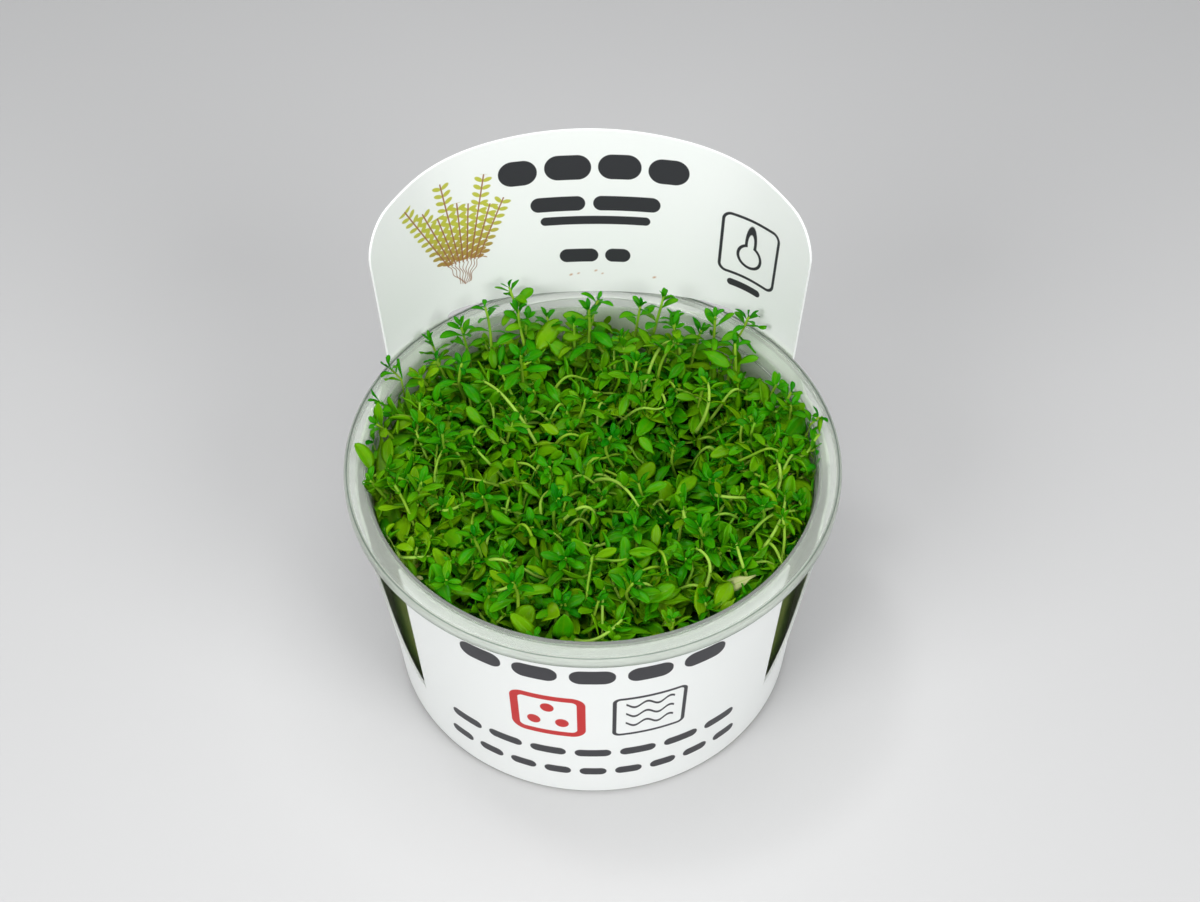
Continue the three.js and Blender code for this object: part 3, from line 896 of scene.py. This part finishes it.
def slit_back_angle(z):
    """Angle from the front of a slit's back edge at a height, with its turns smoothed."""
    heights, angles = zip(*SLIT_BACK_EDGE)
    reach = min(SLIT_SMOOTHING, z - SLIT_TIP)
    return float(np.mean([np.interp(z + reach * k, heights, angles) for k in (-1, -0.5, 0, 0.5, 1)]))


def half_outline(side):
    """The card's cut edge from its front's middle, over slit and shoulder, to the header's middle."""
    slit = out_at(SLIT_FRONT_ANGLE)
    points = [(out_at(0), FRONT_TOP), (slit, FRONT_TOP), (slit, SLIT_TIP)]
    for z in np.linspace(SLIT_TIP, SHOULDER_TOP, 25)[1:]:
        points.append((out_at(slit_back_angle(z)), z))
    corner_start = HEADER_HALF - HEADER_CORNER
    outs = [HEADER_HALF]
    outs += [corner_start + HEADER_CORNER * math.cos(step / 8 * math.pi / 2) for step in range(1, 9)]
    outs += [corner_start * (1 - step / 30) for step in range(1, 31)]
    points.append((HEADER_HALF, SHOULDER_TOP))
    points += [(out, header_edge(side * out)) for out in outs]
    return [(side * out, z) for out, z in points]


def slot_outline():
    """The slot that the rim goes through, as points round it."""
    half = SLOT_HALF_WIDTH
    corners = [(half, SLOT_BOTTOM + 1.2), (half, SLOT_TOP), (-half, SLOT_TOP), (-half, SLOT_BOTTOM + 1.2),
               (-half * 0.6, SLOT_BOTTOM), (half * 0.6, SLOT_BOTTOM)]
    return [tuple(p) for p in rounded_profile([(x, z, SLOT_ROUNDING) for x, z in corners], 6)]


def along_outline(points):
    """A closed outline with more points where its own lie further apart than the card's grid."""
    closed = []
    for start, end in zip(points, points[1:] + points[:1]):
        start, end = np.array(start), np.array(end)
        pieces = max(1, math.ceil(np.linalg.norm(end - start) / CARD_GRID))
        closed += [tuple(start + (end - start) * k / pieces) for k in range(pieces)]
    return closed


def is_inside(points, outline):
    """Which points lie inside an outline, by the number of its sides to their right."""
    inside = np.zeros(len(points), bool)
    x, y = points.T
    for (x0, y0), (x1, y1) in zip(outline, outline[1:] + outline[:1]):
        if y1 != y0:
            inside ^= ((y0 > y) != (y1 > y)) & (x < (x1 - x0) * (y - y0) / (y1 - y0) + x0)
    return inside


def far_from(points, outline, distance):
    """Which points keep a distance from all the points of an outline."""
    gaps = np.full(len(points), np.inf)
    for corner in outline:
        gaps = np.minimum(gaps, np.hypot(*(points - corner).T))
    return gaps > distance


def compacted(points, faces):
    """Only the points that the faces use, and the faces by their new numbers."""
    used, numbers = np.unique(faces, return_inverse=True)
    return points[used], numbers.reshape(np.shape(faces))


def flat_card():
    """The card laid flat: points as (distance round from the header's middle, height), and its triangles."""
    seam = out_at(0)
    right, left = half_outline(1), half_outline(-1)
    outline = along_outline([(-seam, SLEEVE_BOTTOM), (seam, SLEEVE_BOTTOM)] + right + left[::-1][1:])
    slot = along_outline(slot_outline())
    columns = np.arange(-seam + CARD_GRID, seam, CARD_GRID)
    rows = np.arange(SLEEVE_BOTTOM + CARD_GRID, HEADER_TOP, CARD_GRID)
    grid = np.array([(x + CARD_GRID / 2 * (k % 2), z) for k, z in enumerate(rows) for x in columns])
    keep = far_from(grid, outline + slot, CARD_GRID * 0.55)
    keep &= is_inside(grid, outline) & ~is_inside(grid, slot)
    edges = []
    for start, count in ((0, len(outline)), (len(outline), len(slot))):
        edges += [(start + i, start + (i + 1) % count) for i in range(count)]
    made = delaunay_2d_cdt([Vector(p) for p in [*outline, *slot, *grid[keep]]], edges, [], 0, 1e-5)
    flat = np.array([tuple(p) for p in made[0]])
    faces = np.array([face for face in made[2] if len(face) == 3])
    middles = flat[faces].mean(1)
    return compacted(flat, faces[is_inside(middles, outline) & ~is_inside(middles, slot)])


def wrapped(flat, inset):
    """Points of the flat card wrapped round the cup, at a depth in the card."""
    points = []
    for out, z in flat:
        angle = 180 - abs(math.degrees(out / HEADER_RADIUS))
        turn = math.radians(math.copysign(angle, out) + SLEEVE_TURN)
        r = card_radius(angle, z) - inset
        points.append((r * math.sin(turn), -r * math.cos(turn), z))
    return np.array(points)


def card_shell():
    """The wrapped card as one closed shell, with its seam at the front welded."""
    flat, faces = flat_card()
    seam = out_at(0)
    partner = np.arange(len(flat))
    for i in np.flatnonzero(flat[:, 0] > seam - 1e-3):
        twins = np.flatnonzero((flat[:, 0] < -seam + 1e-3) & (abs(flat[:, 1] - flat[i, 1]) < 1e-3))
        if len(twins):
            partner[i] = twins[0]
    triangles = partner[faces].tolist()
    count = len(flat)
    edges = {edge for a, b, c in triangles for edge in ((a, b), (b, c), (c, a))}
    shell = [(c, b, a, a) for a, b, c in triangles]
    shell += [(a + count, b + count, c + count, c + count) for a, b, c in triangles]
    shell += [(a, b, b + count, a + count) for a, b in sorted(edges) if (b, a) not in edges]
    return compacted(np.concatenate([wrapped(flat, 0.0), wrapped(flat, CARD_THICKNESS)]), shell)


def heart_shape():
    """The carpet's shaded inside: a flat bottom, a wall along the cup and a lumpy top."""
    walls = (CARPET_BOTTOM, 20.0, 30.0, 40.0)
    rings = [ring(cup_inner_radius(z) - HEART_INSET, z, HEART_SIDES) for z in walls]
    for step in range(HEART_RINGS, 0, -1):
        x, y = circle((cup_inner_radius(HEART_TOP) - HEART_INSET) * step / HEART_RINGS, HEART_SIDES)
        lump = 1.2 * np.sin(x * 1.3 + 2 * np.sin(y * 0.7)) * np.sin(y * 1.1 + 1.5 * np.sin(x * 0.6))
        rings.append(np.stack([x, y, carpet_height(x, y) - HEART_DEPTH + lump], 1))
    middle = float(carpet_height(0, 0)) - HEART_DEPTH
    return closed_rings(rings, (0.0, 0.0, CARPET_BOTTOM), (0.0, 0.0, middle))


# Foliage


def leaf_grid(rows, columns):
    """A leaf's points as (along 0 to 1, across -1 to 1, underside 0 or 1), and its faces: one closed skin."""
    along = 1 - np.linspace(1, 0, rows) ** 1.4
    points = []
    upper = np.zeros((rows, columns), int)
    lower = np.zeros((rows, columns), int)
    for i, t in enumerate(along):
        for j, w in enumerate(np.linspace(-1, 1, columns)):
            upper[i, j] = lower[i, j] = len(points)
            points.append((t, w, 0))
            if i not in (0, rows - 1) and j not in (0, columns - 1):
                lower[i, j] = len(points)
                points.append((t, w, 1))
    faces = []
    for skin in (upper, lower[:, ::-1]):
        corners = (skin[:-1, :-1], skin[1:, :-1], skin[1:, 1:], skin[:-1, 1:])
        faces.append(np.stack(corners, -1).reshape(-1, 4))
    return np.array(points, float), np.concatenate(faces)


LARGE_LEAF = leaf_grid(8, 5)
SMALL_LEAF = leaf_grid(6, 5)


def leaf_outline(along):
    """Half-width of a leaf at a place along it, as a share of its greatest: oval, with a narrow foot."""
    body = np.sin(np.pi * np.clip(along, 0, 1) ** 1.35) ** 0.66
    foot = 0.22 + 0.78 * smooth(along / 0.42)
    return np.maximum(body * foot, 0.1 * (along < 0.5))


def unit(vectors):
    return vectors / np.maximum(np.linalg.norm(vectors, axis=-1, keepdims=True), 1e-9)


def perpendicular(direction, turn):
    """A unit vector square to a direction, turned round it."""
    base = unit(np.cross(direction, (0.0, 1.0, 0.0) if abs(direction[2]) > 0.6 else (0.0, 0.0, 1.0)))
    return math.cos(turn) * base + math.sin(turn) * np.cross(direction, base)


class Plant:
    """Leaves and stems that are gathered and then made into one piece."""

    def __init__(self, foliage, random):
        self.length = foliage.leaf_length / MM
        self.width = foliage.leaf_width / MM
        self.random = random
        self.leaves = []
        self.skins = []
        self.count = 0

    def add(self, points, faces, tints, kind):
        self.skins.append((points, faces + self.count, tints, np.full(len(faces), kind)))
        self.count += len(points)

    def leaf(self, foot, along, up, length, width, arch, fold, age, turn=0.0):
        self.leaves.append((*foot, *along, *up, length, width, arch, fold, age, turn))

    def pair(self, node, axis, turn, rise, length, width, age, count):
        """Leaves opposite each other, or a whorl of three, round a stem."""
        random = self.random
        for k in range(count):
            outward = perpendicular(axis, turn + 2 * math.pi * k / count + random.normal(0, 0.12))
            climb = rise + random.normal(0, 0.14)
            along = math.sin(climb) * axis + math.cos(climb) * outward
            up = math.cos(climb) * axis - math.sin(climb) * outward
            size = random.uniform(0.82, 1.14)
            self.leaf(
                node, along, up, length * size, width * size * random.uniform(0.88, 1.1),
                random.uniform(0.0, 1.2), random.uniform(0.1, 0.55),
                min(OLDEST_GREEN, age + random.normal(0, 0.1)), random.normal(0, 0.4),
            )

    def shoot(self, path, thick, thin, leaves, age, vigour=1.0, paleness=0.25):
        """A stem with a rosette of small leaves at its tip and pairs of growing size below it."""
        random = self.random
        self.stem(path, np.linspace(thick, thin, len(path)), paleness)
        travelled = np.concatenate([[0], np.cumsum(np.linalg.norm(np.diff(path, axis=0), axis=1))])
        turn = random.uniform(0, math.pi)
        down = 0.0
        for level, (gap, share) in enumerate(leaves):
            down += gap * random.uniform(0.8, 1.2)
            at = travelled[-1] - down
            if at < 1:
                break
            node, nearby = np.array([np.interp((at, at - 0.8), travelled, axis) for axis in path.T]).T
            rise = math.radians(60 - 14 * min(level, 4) + random.uniform(-8, 8))
            count = 3 if random.random() < WHORL_SHARE else 2
            length = self.length * vigour * share
            width = self.width * vigour * share ** 0.85
            self.pair(node, unit(node - nearby), turn, rise, length, width, age + AGE_STEP * level, count)
            turn += math.pi / 2 + random.normal(0, 0.15)

    def lay(self, grid, table):
        """Turns gathered leaves into points and faces, all leaves of one grid at a time."""
        (t, w, under), faces = grid[0].T, grid[1]
        foot, along, up = table[:, 0:3], unit(table[:, 3:6]), table[:, 6:9]
        length, width, arch, fold, age, turn = [table[:, i:i + 1] for i in range(9, 15)]
        across = unit(np.cross(up, along))
        up = unit(np.cross(along, across))
        half = width / 2 * leaf_outline(t)
        bend = np.where(abs(arch) < 1e-3, 1e-3, arch)
        side = w * half
        body = (0.11 + 0.03 * width) * np.sin(np.pi * t) ** 0.4 * (1 - w * w)
        ripple = 0.12 * side * np.sin(7 * t + turn * 9)
        above = np.where(under == 1, -body, body * 0.35 * (abs(w) > 0.05))
        lift = fold * half * abs(w) ** 1.4 + ripple + above
        twist = turn * t
        side, lift = side * np.cos(twist) - lift * np.sin(twist), side * np.sin(twist) + lift * np.cos(twist)
        forward = length * np.sin(bend * t) / bend + lift * np.sin(arch * t)
        height = -length * (1 - np.cos(bend * t)) / bend + lift * np.cos(arch * t)
        points = foot[:, None] + forward[..., None] * along[:, None]
        points = points + side[..., None] * across[:, None] + height[..., None] * up[:, None]
        all_faces = faces[None] + (np.arange(len(table)) * len(t))[:, None, None]
        tints = np.stack([np.broadcast_to(tint, half.shape) for tint in (age, w * 0.5 + 0.5, t)], -1)
        self.add(points.reshape(-1, 3), all_faces.reshape(-1, 4), tints.reshape(-1, 3), 0)

    def stem(self, path, radii, paleness):
        """A round stem along a path, with pointed ends, and a colour from green to pale."""
        ahead = unit(np.gradient(path, axis=0))
        side = np.cross(ahead[0], (0.3, 0.9, 0.2))
        rings = []
        for direction, centre, radius in zip(ahead, path, radii):
            side = unit(side - direction * np.dot(side, direction))
            x, y = circle(radius, STEM_SIDES)
            rings.append(centre + np.outer(x, side) + np.outer(y, np.cross(direction, side)))
        foot, tip = path[0] - ahead[0] * radii[0] * 0.5, path[-1] + ahead[-1] * radii[-1] * 0.8
        points, faces = closed_rings(rings, foot, tip)
        self.add(points, faces, np.full((len(points), 3), paleness), 1)

    def make(self, name, materials):
        """The gathered foliage as one piece, kept inside the cup and clear of the header."""
        table = np.array(self.leaves, float)
        is_large = table[:, 9] > LARGE_LEAF_FROM
        for grid, chosen in ((LARGE_LEAF, table[is_large]), (SMALL_LEAF, table[~is_large])):
            self.lay(grid, chosen)
        points, faces, tints, kinds = [np.concatenate(part) for part in zip(*self.skins)]
        mesh = mesh_of(name, inside_cup(points), faces)
        mesh.polygons.foreach_set("material_index", kinds.astype(np.int32))
        tints = np.concatenate([tints, np.ones((len(points), 1))], 1)
        mesh.attributes.new("leaf", "FLOAT_COLOR", "POINT").data.foreach_set("color", tints.ravel())
        return linked(name, mesh, materials)


def inside_cup(points):
    """Foliage kept inside the cup's wall, free to lean over the rim, and clear of the header."""
    x, y, z = points.T
    limit = cup_inner_radius(np.minimum(z, CUP_HEIGHT)) - WALL_CLEARANCE
    leans_out = 1 - smooth((-y - 8) / 10)
    limit = np.minimum(limit + np.maximum(0, z - CUP_HEIGHT) * 1.3 * leans_out, RIM_RADIUS - RIM_CLEARANCE)
    behind = smooth((np.degrees(np.arctan2(y, abs(x))) - 50) / 8)
    at_header = cup_outer_radius(np.maximum(z, CUP_HEIGHT)) - RIM_CLEARANCE
    limit = np.where(z > CUP_HEIGHT, limit * (1 - behind) + np.minimum(limit, at_header) * behind, limit)
    share = np.minimum(1, limit / np.maximum(np.hypot(x, y), 1e-6))
    return np.stack([x * share, y * share, z], 1)


def spiral(index, count, radius, turn):
    """One of a number of places spread evenly over a disk."""
    r = radius * math.sqrt((index + 0.5) / count)
    angle = index * GOLDEN_ANGLE + turn
    return r * math.cos(angle), r * math.sin(angle)


def towards(heading, climb):
    """A unit vector by its heading in the plan and its climb."""
    level = math.cos(climb)
    return np.array([math.cos(heading) * level, math.sin(heading) * level, math.sin(climb)])


def bent_path(tip, heading, tilt, bend, length, curl, count=10):
    """A path that ends at a tip, leaning there by a tilt, and stands more upright towards its foot."""
    points = [np.array(tip, float)]
    for share in np.arange(count - 1) / (count - 1):
        direction = towards(heading + curl * share, math.pi / 2 - tilt * (1 - bend * share))
        points.append(points[-1] - direction * length / (count - 1))
    return np.array(points[::-1])


def carpet_shoot(plant, x, y):
    """One shoot of the carpet: its tip in the canopy, upright or lying, its stem going down into it."""
    random = plant.random
    x += random.normal(0, 1.3)
    y += random.normal(0, 1.3)
    is_lying = random.random() < LYING_SHARE
    tilt = random.uniform(0.8, 1.35) if is_lying else abs(random.normal(0.42, 0.28))
    rise = random.uniform(-1.5, 2.2) if is_lying else random.uniform(-3.8, 3.7)
    tip = (x, y, float(canopy_height(x, y)) + rise)
    heading, curl = random.uniform(0, 2 * math.pi), random.normal(0, 0.8)
    path = bent_path(tip, heading, tilt, random.uniform(0.5, 1.0), random.uniform(14, 20), curl)
    vigour = random.uniform(0.86, 1.16) + 0.14 * float(smooth(math.hypot(x - 10, y - 2) / 34))
    age = float(np.clip(random.normal(0.01 + 0.31 * math.hypot(x - 6, y + 4) / 40, 0.12), 0, 0.5))
    plant.shoot(path, 0.4, 0.26, SHOOT_LEAVES, age, vigour, random.uniform(0, 0.6))


def edge_shoot(plant, tip):
    """A shoot whose tip reaches a place at the cup's edge, leaning outwards to it."""
    random = plant.random
    heading = math.atan2(tip[1], tip[0]) + random.normal(0, 0.6)
    tilt, length, curl = random.uniform(0.2, 0.65), random.uniform(15, 19), random.normal(0, 0.9)
    path = bent_path(tip, heading, tilt, 1.2, length, curl)
    plant.shoot(path, 0.44, 0.28, SPRIG_LEAVES, 0.18, 0.95)


def runner(plant, x, y):
    """A bare pale stem that arches over the canopy and ends in a few small leaves."""
    random = plant.random
    heading = random.uniform(0, 2 * math.pi)
    reach = random.uniform(7, 16)
    share = np.linspace(0, 1, 16)
    turn = heading + random.normal(0, 0.8) * share
    xs = x + np.cumsum(np.cos(turn)) * reach / len(share)
    ys = y + np.cumsum(np.sin(turn)) * reach / len(share)
    arch = random.uniform(5.0, 9.0) * np.sin(math.pi * share ** 0.75 * random.uniform(0.6, 0.95))
    path = np.stack([xs, ys, canopy_height(xs, ys) - 6 + share * random.uniform(0.0, 2.5) + arch], 1)
    plant.shoot(path, 0.36, 0.24, RUNNER_LEAVES, 0.2, paleness=random.uniform(0, 1))


def wall_shoot(plant, side, share):
    """A shoot pressed against the cup's wall, where a slit of the sleeve shows it."""
    random = plant.random
    angle = math.radians(np.interp(share, (0, 1), (WALL_SHOOTS_FROM, WALL_SHOOTS_TO)) + random.normal(0, 0.8))
    heights = np.linspace(CARPET_BOTTOM + 1, CARPET_MIDDLE + random.uniform(-3, 3), 16)
    around = angle + random.normal(0, 0.03) * np.sin(heights / 6 + random.uniform(0, 6))
    r = cup_inner_radius(heights) - random.uniform(0.9, 2.2)
    path = np.stack([side * r * np.sin(around), -r * np.cos(around), heights], 1)
    plant.shoot(path, 0.45, 0.3, WALL_LEAVES, 0.15, paleness=random.uniform(0, 1))


def single_stem(plant, foot, middle, tip):
    """A pale curved stem between three places, with a few small leaves at its tip."""
    share = np.linspace(0, 1, 16)[:, None]
    foot, middle, tip = [np.array(v, float) for v in (foot, middle, tip)]
    foot[2] -= SINGLE_FOOT_SINK
    path = curve(foot, middle, tip, share)
    plant.shoot(path, 0.4, 0.28, RUNNER_LEAVES[:4], 0.35, 0.8, 1.0)


def single_leaf(plant, foot, tip, width, age):
    """One leaf from its foot to its tip, with its face turned up and to the front."""
    foot, tip = np.array(foot, float), np.array(tip, float)
    plant.leaf(foot, tip - foot, (0.0, -0.5, 0.86), np.linalg.norm(tip - foot) * 1.05, width, 0.5, 0.2, age)


def lower_leaf(plant, x, y):
    """An older, broader leaf that lies under the tips."""
    random = plant.random
    at_front = float(smooth((-y - 14) / 14) * smooth((math.hypot(x, y) - 30) / 10))
    z = float(carpet_height(x, y)) + random.uniform(-6.0, 0.5) + 1.5 * at_front
    heading = random.uniform(0, 2 * math.pi)
    climb = random.normal(0.15, 0.45)
    along = towards(heading, climb)
    up = unit(np.array([random.normal(0, 0.35), random.normal(0, 0.35), 1.0]))
    length = plant.length * random.uniform(0.95, 1.4)
    width = plant.width * random.uniform(1.1, 1.8)
    plant.leaf(
        (x, y, z), along, up, length, width, random.uniform(-0.3, 1.1), random.uniform(0.05, 0.5),
        random.uniform(0.32, 0.8), random.normal(0, 0.45),
    )


def sprig_path(index):
    """The stem of one of the frame's sprigs, swaying a little round the frame's own."""
    x, y = spiral(index, SPRIG_COUNT, SPRIG_SPREAD, 0.9)
    rise = SPRIG_RISE + 1.8 * scatter(index, 2) + float(smooth((y - 10) / 20)) * (3.5 + 5 * scatter(index, 7))
    lean = 0.8 + 1.4 * scatter(index, 3)
    angle = scatter(index, 4) * 2 * math.pi
    heights = np.linspace(-STEM_ROOT, rise, 12)
    outs = np.interp(heights, [-STEM_ROOT, 1, rise * 0.55, rise], [0, 0, lean * 0.35, lean])
    outs = np.convolve(np.pad(outs, 1, "edge"), [0.25, 0.5, 0.25], "valid")
    sway = SPRIG_SWAY * np.sin(np.linspace(0, 2 * math.pi, len(heights))) * (2 * scatter(index, 5) - 1)
    xs = x + math.cos(angle) * outs - math.sin(angle) * sway
    ys = y + math.sin(angle) * outs + math.cos(angle) * sway
    return np.stack([xs, ys, float(carpet_height(x, y)) + heights], 1)


# Operators


class PEARLWEED_OT_stage(bpy.types.Operator):
    """Make the camera, the floor and the lights."""

    bl_idname = "pearlweed.stage"
    bl_label = "Stage"

    def execute(self, context):
        stage = context.scene.pearlweed_stage
        add_camera(context.scene)
        half = FLOOR_HALF
        points = [(-half, -half, 0), (half, -half, 0), (half, half, 0), (-half, half, 0)]
        mesh_object("floor", (points, [(0, 1, 2, 3)]), floor_material(stage))
        for name, place_at, size, watts in LIGHTS:
            add_light(name, place_at, size, getattr(stage, watts))
        set_surroundings(context.scene)
        return {"FINISHED"}


def add_camera(scene):
    lens = bpy.data.cameras.new("camera")
    lens.sensor_fit = "HORIZONTAL"
    lens.sensor_width = CAMERA_SENSOR
    lens.lens = CAMERA_LENS
    lens.clip_start = 0.01
    camera = bpy.data.objects.new("camera", lens)
    camera.location = [v * MM for v in CAMERA_PLACE]
    camera.rotation_euler = (math.pi / 2 - CAMERA_TILT, 0.0, 0.0)
    scene.collection.objects.link(camera)
    scene.camera = camera


def add_light(name, place_at, size, watts):
    lamp = bpy.data.lights.new(name, "AREA")
    lamp.shape = "DISK"
    lamp.size = size
    lamp.energy = watts
    light = bpy.data.objects.new(name, lamp)
    light.location = place_at
    light.rotation_euler = (Vector(LIGHT_TARGET) - Vector(place_at)).to_track_quat("-Z", "Y").to_euler()
    bpy.context.scene.collection.objects.link(light)


def set_surroundings(scene):
    world = bpy.data.worlds.new("studio")
    world.use_nodes = True
    background = world.node_tree.nodes["Background"]
    background.inputs["Color"].default_value = (0.92, 0.95, 1.0, 1.0)
    background.inputs["Strength"].default_value = 0.2
    scene.world = world
    scene.view_settings.view_transform = "Standard"


class PEARLWEED_OT_cup(bpy.types.Operator):
    """Make the clear cup and the culture gel in it."""

    bl_idname = "pearlweed.cup"
    bl_label = "Cup and gel"

    def execute(self, context):
        cup = context.scene.pearlweed_cup
        tub = mesh_object("tub", turned(cup_profile(), CUP_SIDES), clear_plastic(cup), 40)
        stands_for(tub, "clear_plastic", "cup")
        gel = mesh_object("gel_layer", turned(gel_profile(), CUP_SIDES // 2), gel_material(cup), 50)
        stands_for(gel, "culture_gel", "culture_gel")
        return {"FINISHED"}


class PEARLWEED_OT_sleeve(bpy.types.Operator):
    """Make the card sleeve with its header."""

    bl_idname = "pearlweed.sleeve"
    bl_label = "Card sleeve"

    def execute(self, context):
        card = mesh_object("card", card_shell(), white_card(context.scene.pearlweed_sleeve), 40)
        stands_for(card, "white_card", "card_sleeve")
        return {"FINISHED"}


class PEARLWEED_OT_carpet(bpy.types.Operator):
    """Make the carpet of tangled shoots and its shaded inside."""

    bl_idname = "pearlweed.carpet"
    bl_label = "Carpet of shoots"

    def execute(self, context):
        foliage = context.scene.pearlweed_foliage
        materials = [leaf_material("carpet_leaf", foliage), stem_material("carpet_stem", foliage)]
        heart = mesh_object("carpet_heart", heart_shape(), heart_material(foliage))
        stands_for(heart, "foliage", "plant_carpet")
        random = np.random.default_rng(11)
        plants = [Plant(foliage, random) for _ in CARPET_PIECES]
        for index in range(foliage.shoots):
            x, y = spiral(index, foliage.shoots, SHOOT_SPREAD, 2.1)
            carpet_shoot(plants[sector(x, y)], x, y)
        for index in range(foliage.loose_leaves):
            x, y = spiral(index, foliage.loose_leaves, LOWER_LEAF_SPREAD, 0.7)
            lower_leaf(plants[sector(x, y)], x, y)
        for tip in EDGE_TIPS:
            edge_shoot(plants[sector(*tip[:2])], tip)
        for side in (-1, 1):
            for share in np.linspace(0, 1, WALL_SHOOTS):
                wall_shoot(plants[sector(side, -0.6)], side, share)
        for foot, middle, tip in SINGLE_STEMS:
            single_stem(plants[sector(*tip[:2])], foot, middle, tip)
        for foot, tip, width, age in SINGLE_LEAVES:
            single_leaf(plants[sector(*tip[:2])], foot, tip, width, age)
        for index in range(foliage.runners):
            x, y = np.add(spiral(index, foliage.runners, RUNNER_SPREAD, 4.0), RUNNER_CENTRE)
            if math.dist((x, y), HOLLOW_CENTRE) > HOLLOW_RADIUS:
                runner(plants[sector(x, y)], x, y)
        for name, plant in zip(CARPET_PIECES, plants):
            stands_for(plant.make(name, materials), "foliage", "plant_carpet")
        return {"FINISHED"}


def sector(x, y):
    """Which of the carpet's pieces round the axis a point of the plan is in."""
    count = len(CARPET_PIECES)
    turn = (math.atan2(y, x) + math.pi / count) % (2 * math.pi)
    return int(turn / (2 * math.pi) * count) % count


class PEARLWEED_OT_sprigs(bpy.types.Operator):
    """Make the single sprigs that rise out of the carpet."""

    bl_idname = "pearlweed.sprigs"
    bl_label = "Sprigs"

    def execute(self, context):
        foliage = context.scene.pearlweed_foliage
        materials = [leaf_material("sprig_leaf", foliage), stem_material("sprig_stem", foliage)]
        random = np.random.default_rng(5)
        for index in range(SPRIG_COUNT):
            plant = Plant(foliage, random)
            age = float(np.clip(random.normal(0.12, 0.1), 0, 0.3))
            plant.shoot(sprig_path(index), 0.44, 0.28, SPRIG_LEAVES, age)
            number = f"{index + 1:02d}"
            stands_for(plant.make("leafy_sprig_" + number, materials), "shoots", "sprig_" + number)
        return {"FINISHED"}


class PEARLWEED_PT_panel(bpy.types.Panel):
    """The steps of the model, in order."""

    bl_label = "Pearlweed"
    bl_idname = "PEARLWEED_PT_panel"
    bl_space_type = "VIEW_3D"
    bl_region_type = "UI"
    bl_category = "Pearlweed"

    def draw(self, context):
        for name in STEPS:
            self.layout.operator("pearlweed." + name)
        for group in GROUPS:
            box = self.layout.box()
            settings = getattr(context.scene, group)
            for prop in settings.bl_rna.properties:
                if prop.identifier not in ("rna_type", "name"):
                    box.prop(settings, prop.identifier)


STEPS = ["stage", "cup", "sleeve", "carpet", "sprigs"]
GROUPS = {
    "pearlweed_cup": PearlweedCup,
    "pearlweed_sleeve": PearlweedSleeve,
    "pearlweed_foliage": PearlweedFoliage,
    "pearlweed_stage": PearlweedStage,
}
CLASSES = [
    *GROUPS.values(), PEARLWEED_OT_stage, PEARLWEED_OT_cup, PEARLWEED_OT_sleeve, PEARLWEED_OT_carpet,
    PEARLWEED_OT_sprigs, PEARLWEED_PT_panel,
]


def register():
    for kind in CLASSES:
        bpy.utils.register_class(kind)
    for name, kind in GROUPS.items():
        setattr(bpy.types.Scene, name, bpy.props.PointerProperty(type=kind))


def unregister():
    for name in GROUPS:
        delattr(bpy.types.Scene, name)
    for kind in reversed(CLASSES):
        bpy.utils.unregister_class(kind)


def main():
    register()
    bpy.ops.pearlweed.stage()
    bpy.ops.pearlweed.cup()
    bpy.ops.pearlweed.sleeve()
    bpy.ops.pearlweed.carpet()
    bpy.ops.pearlweed.sprigs()


if __name__ == "__main__":
    main()
